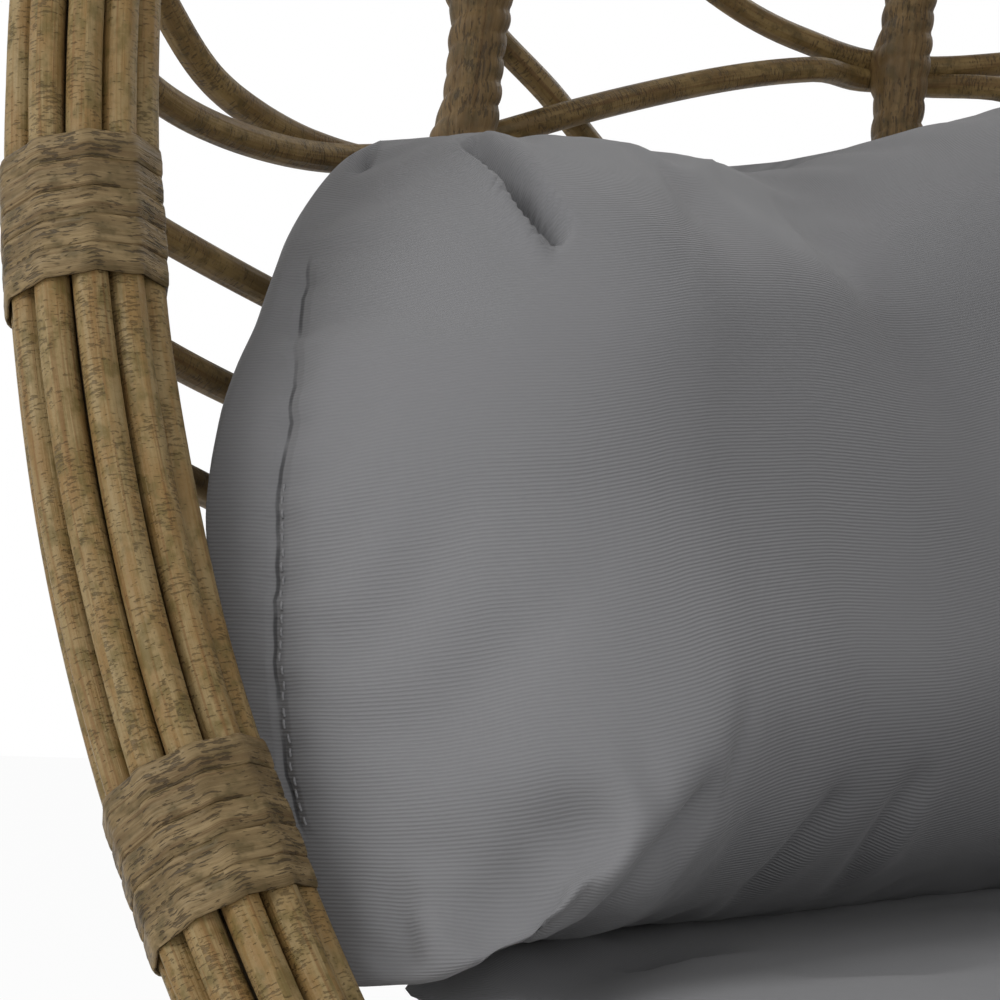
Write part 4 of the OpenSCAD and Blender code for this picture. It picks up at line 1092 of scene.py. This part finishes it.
# %% [markdown]
# ## Filling
# A stuffed cover is tight where the filling pushes and slack along its seams, which is hard to draw and
# easy to simulate. Cloth with inner pressure runs for twenty steps without gravity. The travel is capped
# softly, so that the cushion keeps the outline that was measured for it.

# %% Points of a mesh
def rows_of(vectors, field):
    """One vector per point of a mesh, as rows."""
    flat = np.empty(len(vectors) * 3, np.float32)
    vectors.foreach_get(field, flat)
    return flat.reshape(-1, 3)


def corners(obj):
    """All points of a mesh."""
    return rows_of(obj.data.vertices, "co")


def normals_of(obj):
    """The normal at each point of a mesh."""
    return rows_of(obj.data.vertex_normals, "vector")


def set_corners(obj, places):
    """Moves all points of a mesh."""
    obj.data.vertices.foreach_set("co", places.astype(np.float32).ravel())
    obj.data.update()


# %% Cloth simulation
FILL_STEPS = 20


def fill_cover(obj, held, pressure, slack, cap):
    """Puffs a cover: held is 1 where a point stays and 0 where it is free, cap limits the travel."""
    group = obj.vertex_groups.new(name="held")
    for weight in np.unique(np.round(held, 2)):
        group.add([int(k) for k in np.nonzero(np.round(held, 2) == weight)[0]], float(weight), "REPLACE")
    cloth_mod = obj.modifiers.new("fill", "CLOTH")
    setting = cloth_mod.settings
    setting.quality, setting.mass = 6, 0.25
    setting.tension_stiffness = setting.compression_stiffness = 20
    setting.shear_stiffness, setting.bending_stiffness = 8, 0.6
    setting.use_pressure, setting.uniform_pressure_force = True, pressure
    setting.vertex_group_mass, setting.pin_stiffness = "held", 1.0
    setting.shrink_min = slack
    setting.effector_weights.gravity = 0
    before = corners(obj)
    for moment in range(1, FILL_STEPS + 1):
        scene.frame_set(moment)
    filled = obj.evaluated_get(bpy.context.evaluated_depsgraph_get())
    after = corners(filled)
    obj.modifiers.remove(cloth_mod)
    obj.vertex_groups.remove(group)
    scene.frame_set(1)
    move = after - before
    far = np.linalg.norm(move, axis=1)[:, None]
    move *= np.where(far > 1e-9, cap * np.tanh(far / cap) / np.maximum(far, 1e-9), 0)
    set_corners(obj, before + move)
    print("%s: filled, largest travel %.1f mm" % (obj.name, 1000 * float(np.linalg.norm(move, axis=1).max())))


# %% Fill the back cushion
def bowl_places(spots):
    """Angle round the bowl, height over the egg's middle and depth inside the wall of world points."""
    y, z = spots[:, 1] - EGG_Y, spots[:, 2] - EGG_Z
    n = y * math.cos(TILT) - z * math.sin(TILT)
    p = y * math.sin(TILT) + z * math.cos(TILT)
    depth = (rho(p) - np.hypot(spots[:, 0], n)) * wall_normal(p)[0]
    return np.arctan2(n, -spots[:, 0]), z, depth


spots = corners(back_cushion)
held = 1 - smooth(bowl_places(spots)[2], SEAM_DEPTH + 0.001, SEAM_DEPTH + 0.02)
fill_cover(back_cushion, held, pressure=4.0, slack=-0.03, cap=0.007)

# %% [markdown]
# ## Tucks and folds
# The sewn end gathers the cover: one deep tuck and a small one at the upper edge, a soft valley below
# them, and short creases where the cushion is squeezed against the seat. Such folds are narrower than
# the simulated grid. So the mesh is subdivided once, and each fold then pushes the cloth in along its
# own course, as a valley with a raised lip. The seam itself is pulled in and puckers between stitches.

# %% Courses of the folds
# each fold: its width and depth in mm, then its course in mm along the cloth from the end and in height
FOLDS = [(2.7, 15.0, [(37, -71), (43, -76), (54, -84), (62, -91), (68, -99), (74, -105), (79, -109)]),
         (1.7, 4.5, [(1, -69), (5, -74), (8.5, -79)]),
         (24, 7.5, [(150, -60), (175, -74), (203, -93), (230, -117), (262, -140), (300, -168)]),
         (3.6, 3.0, [(8, -285), (18, -281), (21, -272), (28, -264)]),
         (6.0, 5.0, [(34, -283), (48, -270), (62, -261.5), (74, -252.5), (83, -245)]),
         (2.8, 2.2, [(51, -281), (54, -273), (61, -266)]),
         (5.0, 4.0, [(73, -276), (87, -262), (103, -254), (114, -247)]),
         (4.6, 3.6, [(147, -285), (156, -274), (163, -264), (168, -254)]),
         (4.6, 3.8, [(192, -287), (191, -275), (195, -263), (204, -250)])]
# the lips beside a valley: height, distance and spread, in shares of its depth and its width
LIPS = ((0.30, -1.9, 1.0), (0.12, 2.1, 1.2))


def fold_depth(reach, level, width, deep, course):
    """How far a fold pushes the cloth in at each place: a valley with a raised lip on its low side."""
    course = np.array(course, float)
    best = np.full(reach.shape, 1e9)
    push = np.zeros(reach.shape)
    total = len(course) - 1
    for k in range(total):
        start, step = course[k], course[k + 1] - course[k]
        t = ((reach - start[0]) * step[0] + (level - start[1]) * step[1]) / (step @ step)
        t = np.clip(t, 0, 1)
        gap_u, gap_v = reach - start[0] - t * step[0], level - start[1] - t * step[1]
        gap = np.hypot(gap_u, gap_v)
        side = np.sign(gap_v * step[0] - gap_u * step[1]) * gap / width
        taper = np.clip(np.sin(math.pi * (k + t) / total), 0, 1) ** 0.6
        shape = np.exp(-np.where(side < 0, side / 0.8, side / 1.4) ** 2)
        for rise, middle, spread in LIPS:
            shape = shape - rise * np.exp(-((side - middle) / spread) ** 2)
        nearer = gap < best
        push = np.where(nearer, deep * taper * shape, push)
        best = np.where(nearer, gap, best)
    return push


# %% A finer mesh and its map
def refine(obj):
    """Applies one subdivision, so that narrow folds have points to stand on."""
    finer = obj.modifiers.new("finer", "SUBSURF")
    finer.levels = finer.render_levels = 1
    ready = bpy.context.evaluated_depsgraph_get()
    mesh = bpy.data.meshes.new_from_object(obj.evaluated_get(ready), preserve_all_data_layers=True,
                                           depsgraph=ready)
    obj.modifiers.remove(finer)
    obj.data = mesh
    print("%s: %d faces after subdivision" % (obj.name, len(mesh.polygons)))


def map_at_corners(obj, name, fill, limit):
    """Values of a map at each point, from the faces where its first value is under the limit."""
    mesh = obj.data
    spots = np.empty(len(mesh.loops) * 2, np.float32)
    mesh.uv_layers[name].data.foreach_get("uv", spots)
    owner = np.empty(len(mesh.loops), np.int32)
    mesh.loops.foreach_get("vertex_index", owner)
    spots = spots.reshape(-1, 2)
    chosen = spots[:, 0] < limit
    values = np.full((len(mesh.vertices), 2), fill)
    values[owner[chosen]] = spots[chosen]
    return values


# %% Fold the back cushion
# the right end has the same folds, a little shallower and set off, so that the two ends aren't twins
RIGHT_DEPTH, RIGHT_STRETCH, RIGHT_SHIFT, RIGHT_DROP = 0.8, 0.93, 5, 3
# the seam is pulled in between these heights, in mm, by a little more and less from stitch to stitch
PUCKER_WIDTH, SEAM_PULL, PUCKER_FROM, PUCKER_UP_TO = 6, 1.5, (-256, -240), (-116, -102)
refine(back_cushion)
beside, level = 1000 * map_at_corners(back_cushion, "seam", 1.0, 0.9).T
reach = beside + np.interp(level, SEAM_HEIGHT, SEAM_REACH)
places, outward = corners(back_cushion), normals_of(back_cushion)
push = np.zeros(len(reach))
for width, deep, course in FOLDS:
    moved = [(u * RIGHT_STRETCH + RIGHT_SHIFT, z - RIGHT_DROP) for u, z in course]
    left, right = (fold_depth(reach, level, width, deep * scale, line)
                   for scale, line in ((1, course), (RIGHT_DEPTH, moved)))
    push += np.where(places[:, 0] > 0, right, left)
pucker = np.exp(-(beside / PUCKER_WIDTH) ** 2) * smooth(level, *PUCKER_FROM)
pucker = pucker * (1 - smooth(level, *PUCKER_UP_TO))
push += pucker * (SEAM_PULL + 0.55 * np.sin(level / 2.1) + 0.4 * np.sin(level / 1.3 + 1))
places -= outward * (push[:, None] / 1000)
set_corners(back_cushion, places)
print("deepest fold %.1f mm" % push.max())

# %% [markdown]
# ## Seam stitches
# A row of thread stands beside the seam where the cover turns towards the sitter. One stitch is a short
# bowed tube. Its places are found on the folded mesh itself, at even heights beside the seam, and the
# tree that set the bindings sets the stitches too.

# %% One stitch
STITCH_LENGTH, STITCH_PITCH, STITCH_ASIDE = 2.1, 3.2, 1.3
THREAD_R, STITCHED_FROM, STITCHED_UP_TO = 0.00036, -252.0, -170.0
stitch = Shell()
bow = np.linspace(-1, 1, 5)
stitch.tube(np.stack([0 * bow, bow * STITCH_LENGTH / 2000, 0.00022 - 0.00035 * bow ** 2], -1),
            np.tile([1.0, 0.0, 0.0], (5, 1)), ring_section(THREAD_R, 6))
one_stitch = stitch.build("one_stitch", thread_grey)

# %% Stitches along the seam
outward = normals_of(back_cushion)
points, turns = [], []
for side in (-1, 1):
    chosen = np.nonzero((beside < 30) & (places[:, 0] * side > 0))[0]
    finder = KDTree(len(chosen))
    for k in chosen:
        finder.insert((beside[k], level[k], 0.0), int(k))
    finder.balance()

    def on_seam(height):
        """Place and normal on the cloth beside the seam, from the nearest points of the mesh."""
        found = finder.find_n((STITCH_ASIDE, height, 0.0), 4)
        share = np.array([1 / (gap + 0.2) for _, _, gap in found])
        nearest = [k for _, k, _ in found]
        return (share @ places[nearest]) / share.sum(), share @ outward[nearest]

    for height in np.arange(STITCHED_FROM, STITCHED_UP_TO, STITCH_PITCH):
        spot, face = on_seam(height)
        ahead = on_seam(height + 4)[0] - on_seam(height - 4)[0]
        face = face / np.linalg.norm(face)
        ahead -= (ahead @ face) * face
        ahead /= np.linalg.norm(ahead)
        points.append(spot)
        basis = Matrix(np.column_stack([np.cross(ahead, face), ahead, face]).tolist())
        turns.append(tuple(basis.to_euler()))
stitches = scatter("back_seam_stitches", points, turns, one_stitch, thread_grey)
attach(stitches, "basket")

# %% [markdown]
# ## Seat cushion
# The seat cushion is a thick pad that lies in the bottom of the bowl and is cut off along a line at the
# front. A grid would fit its round side badly, so it is built on spokes and rings round its middle. On
# each spoke, halving finds the way to the bowl; the shorter of that and the way to the front line gives
# the outline. The top is a level crown that rises a little where the back cushion presses it against
# the canes, and the underside is the bowl itself.

# %% Floor of the bowl
BOWL_SEARCH, SEARCH_STEPS = (-0.52, -0.20), 30


def bowl_floor(x, y):
    """Height over the egg's middle at which the lined bowl lies under a place, by halving."""
    low, high = (np.full(np.shape(x), end) for end in BOWL_SEARCH)
    for _ in range(SEARCH_STEPS):
        z = (low + high) / 2
        n = y * math.cos(TILT) - z * math.sin(TILT)
        p = np.clip(y * math.sin(TILT) + z * math.cos(TILT), -DROP, RISE)
        level = wall_normal(p)[0]
        inside_bowl = np.hypot(x, n) < rho(p) - BACK_GAP / level
        high, low = np.where(inside_bowl, z, high), np.where(inside_bowl, low, z)
    return (low + high) / 2


# %% Outline of the seat cushion
SPOKES, RINGS, SEAT_MIDDLE = 168, 34, 0.135
# height of the seam over the egg's middle, how much lower it is in front, and how far behind the rim
SEAT_SEAM, FRONT_SEAM_DROP, FRONT_SETBACK, CORNER_POWER = -0.2925, 0.027, 0.030, 26.0
spoke = np.arange(SPOKES) * 2 * math.pi / SPOKES
seat_seam = SEAT_SEAM - FRONT_SEAM_DROP * smooth(-np.sin(spoke), 0.45, 0.9)
near, far = np.zeros(SPOKES), np.full(SPOKES, 0.6)
for _ in range(SEARCH_STEPS):
    reach = (near + far) / 2
    x, y = reach * np.cos(spoke), SEAT_MIDDLE + reach * np.sin(spoke)
    inside_bowl = bowl_floor(x, y) < seat_seam
    near, far = np.where(inside_bowl, reach, near), np.where(inside_bowl, far, reach)
front_line = (FRONT_SETBACK + seat_seam * math.sin(TILT)) / math.cos(TILT)
forward = np.minimum(np.sin(spoke), -1e-3)
to_front = np.where(np.sin(spoke) < -1e-3, (front_line - SEAT_MIDDLE) / forward, 9.0)
reach = (near ** -CORNER_POWER + to_front ** -CORNER_POWER) ** (-1 / CORNER_POWER)
print("seat cushion: %.2f to %.2f m from its middle" % (reach.min(), reach.max()))

# %% Crown and underside of the seat cushion
SEAT_TOP, SEAT_ROUND, WALL_RISE, SIDE_RISE = -0.2950, 0.028, 0.0045, 0.0075
ring = np.sin(np.linspace(0, math.pi / 2, RINGS + 1))[1:, None]
x, y = ring * reach * np.cos(spoke), SEAT_MIDDLE + ring * reach * np.sin(spoke)
crown_share = pillow_edge((1 - ring) * reach, SEAT_ROUND)
from_wall = near - ring * reach
rim_rise = WALL_RISE * (1 - smooth(from_wall, 0.015, 0.045))
round_fold = np.degrees(np.arctan2(y * math.cos(TILT) - SEAT_TOP * math.sin(TILT), np.abs(x)))
side_share = smooth(round_fold, 4, 11) * (1 - smooth(round_fold, 18, 25))
side_rise = SIDE_RISE * side_share * (1 - smooth(from_wall, 0.020, 0.036))
top_z = seat_seam + (SEAT_TOP + np.maximum(rim_rise, side_rise) - seat_seam) * crown_share
under_share = smooth((1 - ring) * reach, 0.0, 0.05)
under_z = seat_seam + (np.minimum(bowl_floor(x, y), seat_seam) - seat_seam) * under_share ** 0.5
lean = np.minimum(under_z - seat_seam, 0) * math.tan(TILT) * smooth(-np.sin(spoke), 0.2, 0.8) * ring ** 6


# %% Panels of the seat cushion
def add_disc(shell, rings, middle, shift):
    """Adds rings of points round a middle, as quads and a fan, with a map seen from above."""
    start, (rows, cols) = shell.count, rings.shape[:2]
    i, j = np.arange(rows - 1)[:, None], np.arange(cols)[None, :]
    spot_of = lambda i, j: start + 1 + i * cols + (j % cols)
    quads = np.stack([spot_of(i, j), spot_of(i, j + 1), spot_of(i + 1, j + 1), spot_of(i + 1, j)], -1)
    fan = [(start, spot_of(0, k + 1), spot_of(0, k)) for k in range(cols)]
    flat = np.concatenate([middle, rings.reshape(-1, 3)])
    faces = quads.reshape(-1, 4).tolist() + fan
    shell.points.append(flat)
    shell.faces += faces
    shell.maps.append(flat[[k - start for face in faces for k in face]][:, :2] + shift)
    shell.count += len(flat)


seat = Shell()
for z, back, shift in ((top_z, 0.0, 0.0), (under_z, lean, 3.0)):
    grid = np.stack([x, y + EGG_Y + back, z + EGG_Z], -1)
    middle = np.array([[0.0, SEAT_MIDDLE + EGG_Y, float(z[0].mean()) + EGG_Z]])
    add_disc(seat, grid if shift else grid[:, ::-1], middle, shift)
seat_cushion = seat.build("seat_cushion_cover", seat_cloth)
weld(seat_cushion)

# %% Fill and crease the seat cushion
# creases: width and depth in mm, then the course in mm to the right and backwards
SEAT_FOLDS = [(6.0, 2.4, [(-362, 30), (-355, 42), (-345, 58)]),
              (6.5, 3.0, [(-333, 26), (-325, 43), (-312, 62)]),
              (9.0, 2.2, [(-290, 20), (-262, 40), (-250, 70)]),
              (8.0, 2.2, [(300, 22), (322, 46), (330, 66)]),
              (10.0, 2.4, [(120, -30), (150, 0), (190, 22)])]
UPPER_SIDE, FREE_ABOVE, FREE_OFF_WALL = -0.305, (-0.300, -0.2935), (0.004, 0.016)
spots = corners(seat_cushion)
spot_z = spots[:, 2] - EGG_Z
over_floor = spot_z - bowl_floor(spots[:, 0], spots[:, 1] - EGG_Y)
# the underside stays, and so does the edge that is squeezed against the canes
held = np.maximum(1 - smooth(spot_z, *FREE_ABOVE), 1 - smooth(over_floor, *FREE_OFF_WALL))
fill_cover(seat_cushion, held, pressure=3.0, slack=-0.02, cap=0.004)
refine(seat_cushion)
places = corners(seat_cushion)
push = sum(fold_depth(places[:, 0] * 1000, (places[:, 1] - EGG_Y) * 1000, width, deep, course)
           for width, deep, course in SEAT_FOLDS)
places[:, 2] -= np.where(places[:, 2] - EGG_Z > UPPER_SIDE, push / 1000, 0)
set_corners(seat_cushion, places)
print("deepest crease %.1f mm" % push.max())

# %% [markdown]
# ## Cushions on the chair
# Both covers stand for the solids of the engineering frame, which are hidden, and ride on the basket
# with them.

# %% Closing the cushions
for piece, spot_name, covers, fullness in ((back_cushion, "back_fabric", "back_cushion", 0.75),
                                           (seat_cushion, "seat_fabric", "seat_cushion", 0.7)):
    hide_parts(covers)
    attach(piece, "basket")
    print("%s stands for %s" % (piece.name, covers))

# %% [markdown]
# ## Finish
# The bounds of the visible pieces are taken once more and set beside the frame's bounds in one table.

# %% Finish
seen_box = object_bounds()
({"cad": [list(corner) for corner in cad_box],
           "visual": [list(corner) for corner in seen_box]})
